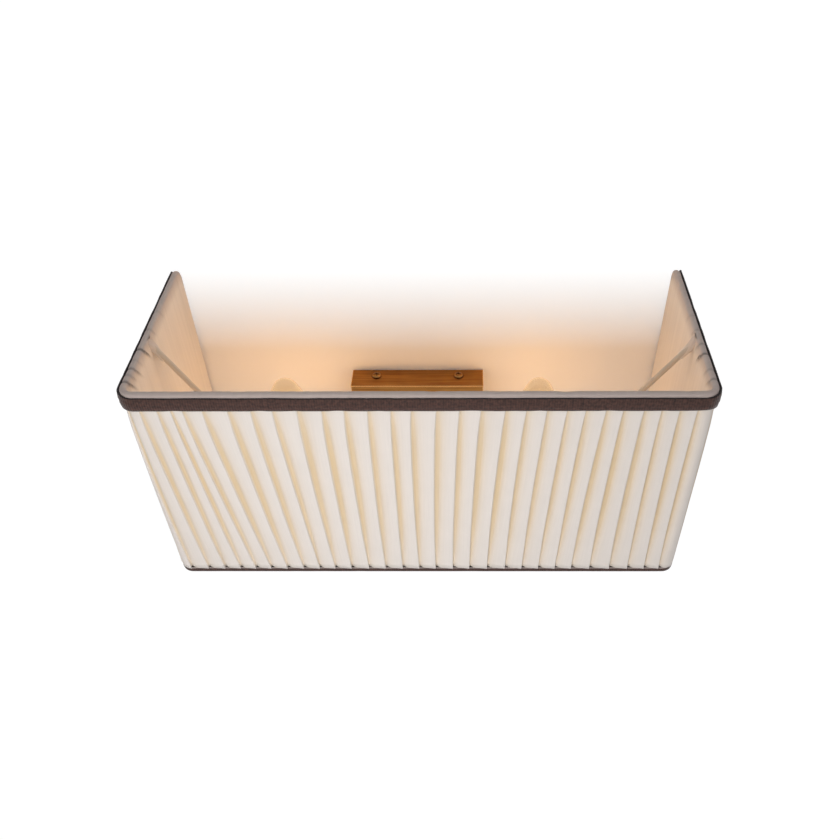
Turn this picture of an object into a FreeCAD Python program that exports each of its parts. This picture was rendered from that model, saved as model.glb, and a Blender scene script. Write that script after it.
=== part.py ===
"""Fabric shade wall light: a pleated half-box shade on a slim brass wall box with two lamps.

Frame: the wall is the plane Y = 0 and the light stands in front of it, towards -Y; +Z is up and
+X is to the right of someone who looks at the wall. The origin is the middle of the wall box on
the wall. Shade pieces are drawn about the shade's own middle and then shifted as one.
"""
import FreeCAD, Part
import math
import os

import Sketcher

V = FreeCAD.Vector
UP = V(0, 0, 1)

doc = FreeCAD.newDocument("fabric_shade_wall_light")

# ---------------------------------------------------------------------------------------------
# Driving dimensions, in millimetres and whole numbers of copies
# ---------------------------------------------------------------------------------------------
SIZES = [
    # shade, overall
    ("shade_width", 400.0), ("shade_depth", 155.0), ("shade_height", 190.0),
    ("shade_shift", 10.0),        # the shade's middle lies this far right of the box's middle
    ("shade_rise", 39.0),         # and this far above it
    ("corner_radius", 11.0),      # plan corners, at the outside of the trim
    ("back_corner_radius", 12.0),  # side corners against the wall, at the outside of the roll
    ("wall_gap", 0.5),            # between the shade's back edges and the wall
    # shade, layers from the outside inwards
    ("trim_thickness", 1.0), ("layer_gap", 0.1), ("lining_thickness", 0.3),
    ("pleat_gap", 0.35), ("backing_thickness", 0.35), ("frame_wire", 2.8),
    ("top_trim_height", 13.5), ("top_trim_drop", 1.2),
    ("bottom_trim_height", 3.5), ("bottom_trim_lift", 0.4), ("turnover", 3.2),
    # pleats
    ("pleat_pitch", 13.44), ("pleat_phase", -2.8),
    ("pleat_closed_depth", 0.4), ("pleat_open_depth", 1.7),
    ("pleat_closed_width", 0.8), ("pleat_open_width", 4.4),
    ("pleat_crown", 0.35), ("pleat_closed_crown", 0.04), ("pleat_open_half", 48.0),
    ("lean_left", 20.0), ("lean_left_peak", 0.65), ("lean_right", 10.0), ("lean_right_peak", 0.4),
    ("side_margin", 4.0),
    # wall box
    ("box_width", 113.5), ("box_depth", 22.0), ("box_height", 56.0), ("box_wall", 1.2),
    ("box_edge", 0.8), ("screw_spacing", 71.0), ("screw_reach", 8.0),
    # bracket
    ("bracket_sheet", 1.5), ("bracket_clearance", 0.4), ("seat_gap", 0.1), ("ear_reach", 14.0),
    ("ear_width", 90.0), ("lower_ear_width", 40.0), ("lower_ear_reach", 8.0),
    ("slot_spacing", 70.0), ("slot_length", 12.0), ("slot_width", 4.5),
    ("cable_hole_radius", 6.0), ("cable_hole_drop", 9.0),
    # screws
    ("screw_radius", 2.0), ("screw_length", 7.0), ("screw_head_radius", 3.75),
    ("screw_head_height", 2.2), ("recess_width", 1.1), ("recess_length", 4.2),
    ("recess_depth", 1.3), ("screw_head_rim", 1.0), ("screw_dome_radius", 7.1),
    ("running_clearance", 0.05),
    # arms
    ("tube_radius", 5.0), ("tube_wall", 1.0), ("tube_bend", 14.0), ("arm_root", 45.0),
    ("arm_root_reach", 11.0), ("arm_drop", 50.0), ("arm_inner_end", 19.0),
    ("nut_across_flats", 14.0), ("nut_height", 3.0), ("collar_radius", 7.5),
    ("collar_height", 3.5), ("collar_foot_radius", 6.4), ("collar_taper", 2.1),
    ("lead_radius", 1.6), ("lead_exit", 6.0), ("lead_bend", 7.0),
    # lampholders
    ("lamp_spacing", 196.0), ("lamp_reach", 77.0), ("ring_level", -18.8),
    ("holder_radius", 13.7), ("holder_shoulder_radius", 17.0), ("holder_shoulder", 3.0),
    ("holder_tail_radius", 9.0), ("holder_tail", 17.2), ("holder_rim", 24.8),
    ("holder_flare", 9.5), ("holder_chamfer", 1.0), ("holder_mouth", 0.8),
    ("holder_floor", 2.0), ("holder_socket", 9.0), ("lead_hole_radius", 3.0),
    ("thread_radius", 7.0), ("shell_thickness", 0.4), ("shell_height", 15.0),
    ("shell_floor_bore", 4.5), ("contact_width", 2.4), ("contact_sheet", 0.5),
    ("contact_leg", 2.7), ("contact_sink", 1.2), ("contact_tongue", 1.8),
    ("ring_outer_radius", 20.0), ("ring_thickness", 1.6), ("ring_play", 0.3),
    ("nut_flange_radius", 17.0), ("nut_flange_height", 2.0), ("nut_body_radius", 16.2),
    ("nut_body_height", 6.0), ("nut_chamfer", 0.8), ("grip_radius", 1.3), ("grip_count", 18),
    ("carrier_radius", 2.0), ("carrier_reach", 91.5),
    # lamps
    ("lamp_seat", 25.0), ("lamp_length", 100.0), ("bulb_radius", 17.5), ("bulb_tip_radius", 10.0),
    ("bulb_belly", 60.0), ("neck_radius", 6.3), ("neck_foot", 20.0), ("neck_top", 27.0),
    ("bulb_wall", 0.8), ("cap_wall", 0.3), ("cap_foot", 3.0), ("cap_top", 24.5),
    ("cap_taper", 1.5), ("cap_flare", 0.45), ("cap_flare_height", 3.0),
    ("insulator_tip_radius", 3.2), ("insulator_chamfer", 0.4),
    ("lamp_contact_radius", 2.2), ("lamp_contact_foot", 1.3), ("lamp_contact_height", 1.0),
    ("stem_radius", 5.2), ("stem_neck_radius", 2.0), ("stem_flare_top", 31.0),
    ("stem_shoulder", 1.0), ("stem_top", 42.0),
    ("filament_radius", 0.9), ("filament_length", 34.0), ("filament_circle", 5.0),
    ("spider_wire", 0.8), ("filament_count", 4),
    # inside the box
    ("terminal_length", 30.0), ("terminal_depth", 11.0), ("terminal_height", 12.0),
    ("terminal_rise", 12.0), ("terminal_pitch", 9.0), ("terminal_hole_radius", 2.2),
    ("terminal_screw_radius", 1.9), ("terminal_screw_sink", 1.0), ("terminal_screw_length", 6.0),
    ("terminal_slot_width", 0.7),
    ("earth_screw_x", 33.0), ("earth_screw_rise", 12.0), ("earth_screw_radius", 3.2),
    ("earth_screw_height", 2.4), ("earth_screw_chamfer", 0.7),
    ("earth_recess_width", 0.9), ("earth_recess_length", 3.4), ("earth_recess_depth", 1.4),
    ("grommet_lip", 1.6), ("grommet_bore_radius", 4.2), ("grommet_lip_height", 1.4),
]

sheet = doc.addObject("Spreadsheet::Sheet", "Sizes")
for row, (alias, value) in enumerate(SIZES, start=1):
    sheet.set(f"A{row}", alias)
    sheet.set(f"B{row}", str(value))
    sheet.setAlias(f"B{row}", alias)
doc.recompute()


def bound(expression):
    """Write a size expression with every alias read from the sheet."""
    out = []
    word = ""
    for letter in expression + " ":
        if letter.isalnum() or letter == "_":
            word += letter
            continue
        out.append(f"Sizes.{word}" if word in ALIASES else word)
        out.append(letter)
        word = ""
    return "".join(out).strip()


ALIASES = {alias for alias, _ in SIZES}


def size(expression):
    """The value of a size expression in millimetres."""
    return float(sheet.evalExpression(bound(expression)))


# Depths below the outermost plane of the shade's walls, layer by layer
LINING_OUT = "trim_thickness + layer_gap"
COVER_OUT = f"({LINING_OUT} + lining_thickness + pleat_gap)"
COVER_FLOOR = f"({COVER_OUT} + pleat_closed_depth)"
COVER_IN = f"({COVER_FLOOR} + backing_thickness)"
WIRE_AXIS = f"({COVER_IN} + 2 * layer_gap + frame_wire / 2)"
LINING_IN = f"({WIRE_AXIS} + frame_wire / 2 + layer_gap + lining_thickness)"
ROLL_RADIUS = f"(({LINING_IN} - {LINING_OUT}) / 2)"
ROLL_AXIS = f"({LINING_OUT} + {ROLL_RADIUS})"
EDGE_LEVEL = f"(shade_height / 2 - {ROLL_RADIUS})"
BACK_LEVEL = f"(wall_gap + {ROLL_RADIUS})"
LAMP_BASE = "(ring_level + holder_rim - lamp_seat)"


# ---------------------------------------------------------------------------------------------
# Helpers for parametric bodies
# ---------------------------------------------------------------------------------------------
def new_body(label):
    body = doc.addObject("PartDesign::Body", label)
    body.Label = label
    return body


def place(thing, x="0", y="0", z="0"):
    """Bind a sub-part's position to the sheet."""
    for axis, expression in (("x", x), ("y", y), ("z", z)):
        thing.setExpression(f"Placement.Base.{axis}", bound(expression))


def new_sketch(body, name, plane, lift="0"):
    sketch = body.newObject("Sketcher::SketchObject", name)
    origin = [item for item in body.Origin.OriginFeatures if item.Role == plane]
    sketch.AttachmentSupport = [(origin[0], "")]
    sketch.MapMode = "FlatFace"
    sketch.setExpression("AttachmentOffset.Base.z", bound(lift))
    return sketch


def pin(sketch, edge, end, x, y):
    """Bind one end of a sketch edge, or a circle's centre, to its coordinates."""
    for kind, expression in (("DistanceX", x), ("DistanceY", y)):
        index = sketch.addConstraint(Sketcher.Constraint(kind, -1, 1, edge, end, size(expression)))
        sketch.setExpression(f"Constraints[{index}]", bound(expression))


def bind_radius(sketch, edge, radius):
    index = sketch.addConstraint(Sketcher.Constraint("Radius", edge, size(radius)))
    sketch.setExpression(f"Constraints[{index}]", bound(radius))


def arc_middle(start, end, radius, side):
    """The middle of the arc from start to end; side +1 bulges to the left of the way."""
    chord = end - start
    reach = chord.Length / 2
    rise = radius - math.sqrt(max(radius * radius - reach * reach, 0.0))
    left = V(-chord.y, chord.x, 0).normalize()
    return (start + end) * 0.5 + left * rise * side


def draw(sketch, corners, closed=True):
    """Lines and arcs through corners (x, y) or (x, y, radius, side), each bound to the sheet.

    The radius and side of a corner belong to the arc that ends there.
    """
    points = [V(size(corner[0]), size(corner[1]), 0) for corner in corners]
    first = 0 if closed else 1
    for number in range(first, len(corners)):
        start = points[number - 1]
        end = points[number]
        if len(corners[number]) == 4:
            middle = arc_middle(start, end, size(corners[number][2]), corners[number][3])
            curve = Part.Arc(start, middle, end)
        else:
            curve = Part.LineSegment(start, end)
        edge = sketch.addGeometry(curve, False)
        ends = (1, 2)
        if len(corners[number]) == 4:
            drawn = sketch.Geometry[edge]
            if drawn.StartPoint.distanceToPoint(start) > drawn.StartPoint.distanceToPoint(end):
                ends = (2, 1)
            bind_radius(sketch, edge, corners[number][2])
        pin(sketch, edge, ends[1], corners[number][0], corners[number][1])
        pin(sketch, edge, ends[0], corners[number - 1][0], corners[number - 1][1])
    return sketch


def draw_circle(sketch, x, y, radius):
    circle = Part.Circle(V(size(x), size(y), 0), UP, size(radius))
    edge = sketch.addGeometry(circle, False)
    pin(sketch, edge, 3, x, y)
    bind_radius(sketch, edge, radius)


def rectangle(x, y, width, height):
    """Corners of a rectangle about the middle (x, y)."""
    left = f"{x} - ({width}) / 2"
    right = f"{x} + ({width}) / 2"
    low = f"{y} - ({height}) / 2"
    high = f"{y} + ({height}) / 2"
    return [(left, low), (right, low), (right, high), (left, high)]


def extrude(body, sketch, kind, length, reverse=False, middle=False):
    """A pad or a pocket, with its length bound to the sheet."""
    before = body.Shape.Volume if kind == "Pocket" else 0.0
    feature = body.newObject(f"PartDesign::{kind}", f"{sketch.Name}_{kind}")
    feature.Profile = sketch
    feature.setExpression("Length", bound(length))
    feature.Reversed = reverse
    if middle:
        feature.SideType = "Symmetric"
    doc.recompute()
    if kind == "Pocket" and not body.Shape.Volume < before:
        raise RuntimeError(f"{feature.Label} removes nothing")
    return feature


def pad(body, name, plane, corners, length, lift="0", reverse=False, middle=False):
    sketch = draw(new_sketch(body, name, plane, lift), corners)
    return extrude(body, sketch, "Pad", length, reverse, middle)


def pocket(body, name, plane, corners, length, lift="0", reverse=False, middle=False):
    sketch = draw(new_sketch(body, name, plane, lift), corners)
    return extrude(body, sketch, "Pocket", length, reverse, middle)


def drill(body, name, plane, holes, length, lift="0", reverse=False, middle=False):
    """Round holes (x, y, radius) pocketed from one plane."""
    sketch = new_sketch(body, name, plane, lift)
    for x, y, radius in holes:
        draw_circle(sketch, x, y, radius)
    return extrude(body, sketch, "Pocket", length, reverse, middle)


def turn(body, name, corners, kind="Revolution"):
    """An outline of radius and height turned about the Z axis, as a solid or as a groove."""
    sketch = draw(new_sketch(body, name, "XZ_Plane"), corners)
    before = body.Shape.Volume if kind == "Groove" else 0.0
    feature = body.newObject(f"PartDesign::{kind}", f"{name}_turned")
    feature.Profile = sketch
    feature.ReferenceAxis = (sketch, ["V_Axis"])
    feature.Angle = 360.0
    doc.recompute()
    if kind == "Groove" and not body.Shape.Volume < before:
        raise RuntimeError(f"{name} removes nothing")
    return feature


def repeat_round(body, feature, count):
    """Repeat a feature evenly round the body's Z axis."""
    pattern = body.newObject("PartDesign::PolarPattern", f"{feature.Name}_pattern")
    pattern.Originals = [feature]
    axis = [item for item in body.Origin.OriginFeatures if item.Role == "Z_Axis"]
    pattern.Axis = (axis[0], [""])
    pattern.Angle = 360.0
    pattern.setExpression("Occurrences", bound(count))
    body.Tip = pattern
    doc.recompute()
    return pattern


def edges_where(shape, test):
    return [f"Edge{number}" for number, edge in enumerate(shape.Edges, start=1) if test(edge)]


def soften(body, kind, amount, test):
    """Fillet or chamfer the edges of the body's tip that pass a test."""
    tip = body.Tip
    feature = body.newObject(f"PartDesign::{kind}", f"{body.Name}_{kind}")
    feature.Base = (tip, edges_where(tip.Shape, test))
    feature.setExpression("Radius" if kind == "Fillet" else "Size", bound(amount))
    doc.recompute()
    return feature


def group(label, members):
    """One node for several like pieces, each a solid of its own."""
    compound = doc.addObject("Part::Compound", label)
    compound.Label = label
    compound.Links = members
    doc.recompute()
    return compound


def mirrored(thing, label):
    """The piece's twin on the other side of the box's middle plane."""
    twin = doc.addObject("Part::Mirroring", label)
    twin.Label = label
    twin.Source = thing
    twin.Base = V(0, 0, 0)
    twin.Normal = V(1, 0, 0)
    doc.recompute()
    return twin


def swept_piece(label, shape, x="0", z="0"):
    """A piece whose form is a sweep or a loft, placed from the sheet."""
    feature = doc.addObject("Part::Feature", label)
    feature.Label = label
    feature.Shape = shape
    place(feature, x, "0", z)
    return feature


# ---------------------------------------------------------------------------------------------
# Wall box
# ---------------------------------------------------------------------------------------------
INNER_TOP = "(box_height / 2 - box_wall - seat_gap)"
PLATE_WIDTH = "(box_width - 2 * box_wall - 2 * bracket_clearance)"
EAR_BEND = "0.9 * bracket_sheet"
THROUGH_SHEET = "4 * bracket_sheet"
THROUGH_WALL = "3 * box_wall"
FREE_FIT = "4 * running_clearance"


def wall_bracket():
    """Folded steel plate on the wall, with an ear above that takes the cover's screws."""
    body = new_body("wall_bracket")
    plate = rectangle("0", "0", PLATE_WIDTH, f"2 * {INNER_TOP}")
    pad(body, "plate", "XZ_Plane", plate, "bracket_sheet")
    top_ear = rectangle("0", f"{INNER_TOP} - bracket_sheet / 2", "ear_width", "bracket_sheet")
    pad(body, "top_ear", "XZ_Plane", top_ear, "ear_reach")
    low = f"-{INNER_TOP} + bracket_sheet / 2"
    pad(body, "lower_ear", "XZ_Plane", rectangle("0", low, "lower_ear_width", "bracket_sheet"),
        "lower_ear_reach")
    half = "(slot_length - slot_width) / 2"
    for name, x in (("left_slot", "-slot_spacing / 2"), ("right_slot", "slot_spacing / 2")):
        slot = rectangle(x, "0", "slot_length - slot_width", "slot_width")
        pocket(body, name, "XZ_Plane", slot, THROUGH_SHEET, middle=True)
        ends = [(f"{x} - {half}", "0", "slot_width / 2"), (f"{x} + {half}", "0", "slot_width / 2")]
        drill(body, f"{name}_ends", "XZ_Plane", ends, THROUGH_SHEET, middle=True)
    hole = [("0", "-cable_hole_drop", "cable_hole_radius")]
    drill(body, "cable_hole", "XZ_Plane", hole, THROUGH_SHEET, middle=True)
    bore = "screw_radius + running_clearance"
    taps = [("-screw_spacing / 2", "-screw_reach", bore), ("screw_spacing / 2", "-screw_reach", bore)]
    drill(body, "screw_taps", "XY_Plane", taps, THROUGH_SHEET, lift=INNER_TOP, middle=True)
    level = size(INNER_TOP)
    soften(body, "Fillet", EAR_BEND, lambda edge: edge_on(edge, y=0.0, z=level))
    return body


def edge_on(edge, **where):
    """True where an edge lies wholly at the given coordinates."""
    ends = [vertex.Point for vertex in edge.Vertexes]
    return all(abs(getattr(point, axis) - value) < 1e-4
               for axis, value in where.items() for point in ends)


def box_cover():
    """Brass box, open at the wall, whose lower face carries the two arms."""
    body = new_body("box_cover")
    pad(body, "outside", "XZ_Plane", rectangle("0", "0", "box_width", "box_height"), "box_depth")
    front = -size("box_depth")
    soften(body, "Fillet", "box_edge", lambda edge: edge_on(edge, y=front))
    hollow = rectangle("0", "0", "box_width - 2 * box_wall", "box_height - 2 * box_wall")
    pocket(body, "hollow", "XZ_Plane", hollow, "box_depth - box_wall", reverse=True)
    bore = f"screw_radius + {FREE_FIT}"
    holes = [("-screw_spacing / 2", "-screw_reach", bore),
             ("screw_spacing / 2", "-screw_reach", bore)]
    drill(body, "screw_holes", "XY_Plane", holes, THROUGH_WALL, lift="box_height / 2", middle=True)
    bore = "tube_radius + 2 * running_clearance"
    roots = [("-arm_root", "-arm_root_reach", bore), ("arm_root", "-arm_root_reach", bore)]
    drill(body, "arm_holes", "XY_Plane", roots, THROUGH_WALL, lift="-box_height / 2", middle=True)
    return body


def cross_recess(body, name, top, width, length, depth):
    """A cross recess sunk from the top of a screw head."""
    for part, (x_size, y_size) in (("a", (length, width)), ("b", (width, length))):
        pocket(body, f"{name}_{part}", "XY_Plane", rectangle("0", "0", x_size, y_size), depth, lift=top)


def cover_screws():
    """Two cross-recess pan heads that hold the cover to the bracket's ear."""
    body = new_body("cover_screw_right")
    outline = [("0", "-screw_length"), ("screw_radius", "-screw_length"), ("screw_radius", "0"),
               ("screw_head_radius", "0"), ("screw_head_radius", "screw_head_rim"),
               ("0", "screw_head_height", "screw_dome_radius", -1)]
    turn(body, "shank_and_head", outline)
    cross_recess(body, "recess", "screw_head_height", "recess_width", "recess_length", "recess_depth")
    place(body, "screw_spacing / 2", "-screw_reach", "box_height / 2")
    return group("cover_screws", [body, mirrored(body, "cover_screw_left")])


def cable_grommet():
    """Rubber ring that guards the supply cable's hole in the bracket."""
    body = new_body("cable_grommet")
    outer = "cable_hole_radius + grommet_lip"
    neck = "cable_hole_radius - running_clearance"
    inner = "bracket_sheet + 2 * running_clearance"
    outline = [("grommet_bore_radius", "0"), (neck, "0"), (neck, inner), (outer, inner),
               (outer, f"{inner} + grommet_lip_height"),
               ("grommet_bore_radius", f"{inner} + grommet_lip_height")]
    turn(body, "ring", outline)
    body.Placement = FreeCAD.Placement(V(0, 0, 0), FreeCAD.Rotation(V(1, 0, 0), 90))
    place(body, "0", "0", "-cable_hole_drop")
    return body


def terminal_block():
    """Three-pole connector block on the bracket."""
    body = new_body("terminal_block")
    pad(body, "block", "XZ_Plane", rectangle("0", "0", "terminal_length", "terminal_height"),
        "terminal_depth")
    ways = []
    for x in ("-terminal_pitch", "0", "terminal_pitch"):
        ways.append((x, "0", "terminal_hole_radius"))
    sink = "terminal_screw_sink + terminal_screw_length"
    drill(body, "screw_wells", "XZ_Plane", ways, sink, lift="terminal_depth")
    place(body, "0", "-bracket_sheet", "terminal_rise")
    return body


def terminal_screws():
    """Slotted clamping screws, one in each pole's well."""
    screws = []
    for number, x in enumerate(("-terminal_pitch", "0", "terminal_pitch"), start=1):
        body = new_body(f"terminal_screw_{number}")
        sketch = new_sketch(body, f"head_{number}", "XZ_Plane")
        draw_circle(sketch, "0", "0", "terminal_screw_radius")
        extrude(body, sketch, "Pad", "terminal_screw_length")
        slot = rectangle("0", "0", "2 * terminal_hole_radius", "terminal_slot_width")
        pocket(body, f"slot_{number}", "XZ_Plane", slot, "terminal_screw_sink",
               lift="terminal_screw_length")
        deep = "bracket_sheet + terminal_depth - terminal_screw_sink - terminal_screw_length"
        place(body, x, f"-({deep})", "terminal_rise")
        screws.append(body)
    return group("terminal_screws", screws)


def earth_screw():
    """Earth screw on the bracket, beside the connector block."""
    body = new_body("earth_screw")
    outline = [("0", "0"), ("earth_screw_radius", "0"),
               ("earth_screw_radius", "earth_screw_height - earth_screw_chamfer"),
               ("earth_screw_radius - earth_screw_chamfer", "earth_screw_height"),
               ("0", "earth_screw_height")]
    turn(body, "earth_head", outline)
    cross_recess(body, "earth_recess", "earth_screw_height", "earth_recess_width",
                 "earth_recess_length", "earth_recess_depth")
    body.Placement = FreeCAD.Placement(V(0, 0, 0), FreeCAD.Rotation(V(1, 0, 0), 90))
    place(body, "earth_screw_x", "-bracket_sheet", "earth_screw_rise")
    return body


# ---------------------------------------------------------------------------------------------
# Paths and sweeps
# ---------------------------------------------------------------------------------------------
def rounded_path(points, radii):
    """Straight runs joined by tangent arcs, one radius for each inner point."""
    edges = []
    last = points[0]
    for number, radius in enumerate(radii, start=1):
        corner = points[number]
        back = (points[number - 1] - corner).normalize()
        ahead = (points[number + 1] - corner).normalize()
        half = back.getAngle(ahead) / 2
        run = radius / math.tan(half)
        start = corner + back * run
        end = corner + ahead * run
        middle = corner + (back + ahead).normalize() * (radius / math.sin(half) - radius)
        if (start - last).Length > 1e-6:
            edges.append(Part.LineSegment(last, start).toShape())
        edges.append(Part.Arc(start, middle, end).toShape())
        last = end
    edges.append(Part.LineSegment(last, points[-1]).toShape())
    return Part.Wire(edges)


def round_bar(path, radius):
    """A solid round bar along a path."""
    start = path.Edges[0].Vertexes[0].Point
    heading = path.Edges[0].tangentAt(path.Edges[0].FirstParameter)
    face = Part.Face(Part.Wire(Part.makeCircle(radius, start, heading)))
    return path.makePipe(face)


# ---------------------------------------------------------------------------------------------
# Arms that carry the lamps
# ---------------------------------------------------------------------------------------------
ARM_RUN = "sqrt((lamp_spacing / 2 - arm_root) ^ 2 + (lamp_reach - arm_root_reach) ^ 2)"
TUBE_TOP = "(ring_level - holder_tail + holder_socket - running_clearance)"


def arm_turn(side):
    """The arm's heading in plan, from its root to the lamp."""
    across = size("lamp_spacing / 2 - arm_root") * side
    forward = -size("lamp_reach - arm_root_reach")
    return FreeCAD.Rotation(UP, math.degrees(math.atan2(forward, across)))


def arm_tube(label, side):
    """Brass tube, bent down, across and up, with its bore open from end to end."""
    body = new_body(label)
    run = ARM_RUN
    spine = [("0", "-arm_inner_end"), ("0", "tube_bend - arm_drop"),
             ("tube_bend", "-arm_drop", "tube_bend", -1), (f"{run} - tube_bend", "-arm_drop"),
             (run, "tube_bend - arm_drop", "tube_bend", -1), (run, TUBE_TOP)]
    path = draw(new_sketch(body, f"{label}_route", "XZ_Plane"), spine, closed=False)
    ring = new_sketch(body, f"{label}_section", "XY_Plane", "-arm_inner_end")
    draw_circle(ring, "0", "0", "tube_radius")
    draw_circle(ring, "0", "0", "tube_radius - tube_wall")
    doc.recompute()
    pipe = body.newObject("PartDesign::AdditivePipe", f"{label}_pipe")
    pipe.Profile = ring
    pipe.Spine = (path, [f"Edge{number}" for number in range(1, 6)])
    doc.recompute()
    body.Placement = FreeCAD.Placement(V(0, 0, 0), arm_turn(side))
    place(body, f"{side} * arm_root", "-arm_root_reach", "0")
    return body


def hex_corners(flats):
    """Corners of a hexagon across its flats."""
    corners = []
    for number in range(6):
        angle = 60 * number + 30
        corners.append((f"({flats}) / 2 / cos(30) * cos({angle})",
                        f"({flats}) / 2 / cos(30) * sin({angle})"))
    return corners


def arm_lock_nuts():
    """Thin hexagon nuts that hold the arms from inside the box."""
    body = new_body("arm_lock_nut_right")
    pad(body, "hexagon", "XY_Plane", hex_corners("nut_across_flats"), "nut_height")
    drill(body, "nut_bore", "XY_Plane", [("0", "0", "tube_radius + running_clearance")],
          "nut_height", reverse=True)
    place(body, "arm_root", "-arm_root_reach", "box_wall - box_height / 2")
    return group("arm_lock_nuts", [body, mirrored(body, "arm_lock_nut_left")])


def arm_collars():
    """Turned collars under the box where the arms leave it."""
    body = new_body("arm_collar_right")
    bore = "tube_radius + running_clearance"
    outline = [(bore, "-collar_height"), ("collar_foot_radius", "-collar_height"),
               ("collar_radius", "collar_taper - collar_height"), ("collar_radius", "0"), (bore, "0")]
    turn(body, "collar_turned", outline)
    place(body, "arm_root", "-arm_root_reach", "-box_height / 2")
    return group("arm_collars", [body, mirrored(body, "arm_collar_left")])


def lamp_lead(label, side):
    """Sleeved pair of wires from the connector block through the arm to the lampholder."""
    root = V(side * size("arm_root"), -size("arm_root_reach"), 0)
    foot = V(side * size("lamp_spacing / 2"), -size("lamp_reach"), 0)
    drop = size("arm_drop")
    block = V(side * size("terminal_length / 2 + layer_gap"),
              -size("bracket_sheet + terminal_depth / 2"), size("terminal_rise"))
    points = [block, block + V(side * size("lead_exit"), 0, 0), root, root - UP * drop,
              foot - UP * drop, foot + UP * size("ring_level - holder_floor - shell_thickness")]
    bends = [size("lead_bend"), size("lead_bend"), size("tube_bend"), size("tube_bend")]
    path = rounded_path(points, bends)
    return swept_piece(label, round_bar(path, size("lead_radius")))


# ---------------------------------------------------------------------------------------------
# Lampholders, E14
# ---------------------------------------------------------------------------------------------
def at_lamp(body, side, z="ring_level"):
    place(body, f"{side} * lamp_spacing / 2", "-lamp_reach", z)
    return body


def lampholder(label, side):
    """Moulded holder: a tail on the arm, a shoulder for the shade and a threaded barrel."""
    body = new_body(label)
    socket = "tube_radius + running_clearance"
    cavity = "thread_radius + shell_thickness + layer_gap"
    outline = [(socket, "-holder_tail"), ("holder_tail_radius", "-holder_tail"),
               ("holder_tail_radius + holder_chamfer", "-holder_tail + holder_chamfer"),
               ("holder_tail_radius + holder_chamfer", "-holder_flare"),
               ("holder_shoulder_radius", "-holder_shoulder"), ("holder_shoulder_radius", "0"),
               ("holder_radius", "0"), ("holder_radius", "holder_rim - holder_chamfer"),
               ("holder_radius - holder_chamfer", "holder_rim"),
               (f"{cavity} + holder_mouth", "holder_rim"), (cavity, "holder_rim - holder_mouth"),
               (cavity, "-holder_floor"),
               ("lead_hole_radius", "-holder_floor"),
               ("lead_hole_radius", "-holder_tail + holder_socket"),
               (socket, "-holder_tail + holder_socket")]
    turn(body, f"{label}_outline", outline)
    return at_lamp(body, side)


def holder_shell(label, side):
    """Thin brass screw shell in the holder."""
    body = new_body(label)
    wall = "thread_radius + running_clearance"
    outer = "thread_radius + running_clearance + shell_thickness"
    outline = [("shell_floor_bore", "-holder_floor"), (outer, "-holder_floor"),
               (outer, "-holder_floor + shell_height"), (wall, "-holder_floor + shell_height"),
               (wall, "-holder_floor + shell_thickness"),
               ("shell_floor_bore", "-holder_floor + shell_thickness")]
    turn(body, f"{label}_cup", outline)
    return at_lamp(body, side)


def holder_contact(label, side):
    """Sprung centre contact, a bent strip from the holder's floor to the lamp's tip."""
    body = new_body(label)
    rise = f"({LAMP_BASE} - ring_level + holder_floor - layer_gap)"
    top = f"{rise} - holder_floor"
    outline = [("-contact_leg", "-holder_floor - contact_sink"),
               ("contact_sheet - contact_leg", "-holder_floor - contact_sink"),
               ("contact_sheet - contact_leg", f"{top} - contact_sheet"),
               ("contact_tongue", f"{top} - contact_sheet"), ("contact_tongue", top),
               ("-contact_leg", top)]
    pad(body, f"{label}_strip", "XZ_Plane", outline, "contact_width", middle=True)
    return at_lamp(body, side)


def ring_nut(label, side):
    """Flanged ring with a scalloped grip that clamps the shade's ring on the holder."""
    body = new_body(label)
    bore = "holder_radius + running_clearance"
    top = "nut_flange_height + nut_body_height"
    outline = [(bore, "0"), ("nut_flange_radius", "0"),
               ("nut_flange_radius", "nut_flange_height"),
               ("nut_body_radius", "nut_flange_height"), ("nut_body_radius", f"{top} - nut_chamfer"),
               ("nut_body_radius - nut_chamfer", top), (bore, top)]
    turn(body, f"{label}_ring", outline)
    grip = ("nut_body_radius + 0.5 * grip_radius", "0", "grip_radius")
    notch = drill(body, f"{label}_grip", "XY_Plane", [grip], "nut_body_height + nut_chamfer",
                  lift="nut_flange_height", reverse=True)
    repeat_round(body, notch, "grip_count")
    return at_lamp(body, side, "ring_level + ring_thickness")


# ---------------------------------------------------------------------------------------------
# Lamps: clear candle bulbs with upright filament sticks
# ---------------------------------------------------------------------------------------------
SHOULDER = "(lamp_length - bulb_belly)"


def bulb_outline(wall):
    """Outer or inner outline of the bulb from neck to tip, a given wall inside the glass."""
    side = f"((bulb_radius ^ 2 + {SHOULDER} ^ 2 - 2 * {SHOULDER} * bulb_tip_radius)" \
           " / (2 * (bulb_radius - bulb_tip_radius)))"
    across = f"({side} - bulb_radius)"
    along = f"({SHOULDER} - bulb_tip_radius)"
    reach = f"({side} - bulb_tip_radius)"
    tip_x = f"((bulb_tip_radius - {wall}) * {across} / {reach})"
    tip_z = f"(lamp_length - bulb_tip_radius + (bulb_tip_radius - {wall}) * {along} / {reach})"
    height = "(bulb_belly - neck_top)"
    width = "(bulb_radius - neck_radius)"
    lower = f"(({width} ^ 2 + {height} ^ 2) / (2 * {width}))"
    return [(f"neck_radius - {wall}", "neck_foot"), (f"neck_radius - {wall}", "neck_top"),
            (f"bulb_radius - {wall}", "bulb_belly", f"{lower} - {wall}", -1),
            (tip_x, tip_z, f"{side} - {wall}", -1),
            ("0", f"lamp_length - {wall}", f"bulb_tip_radius - {wall}", -1)]


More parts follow.
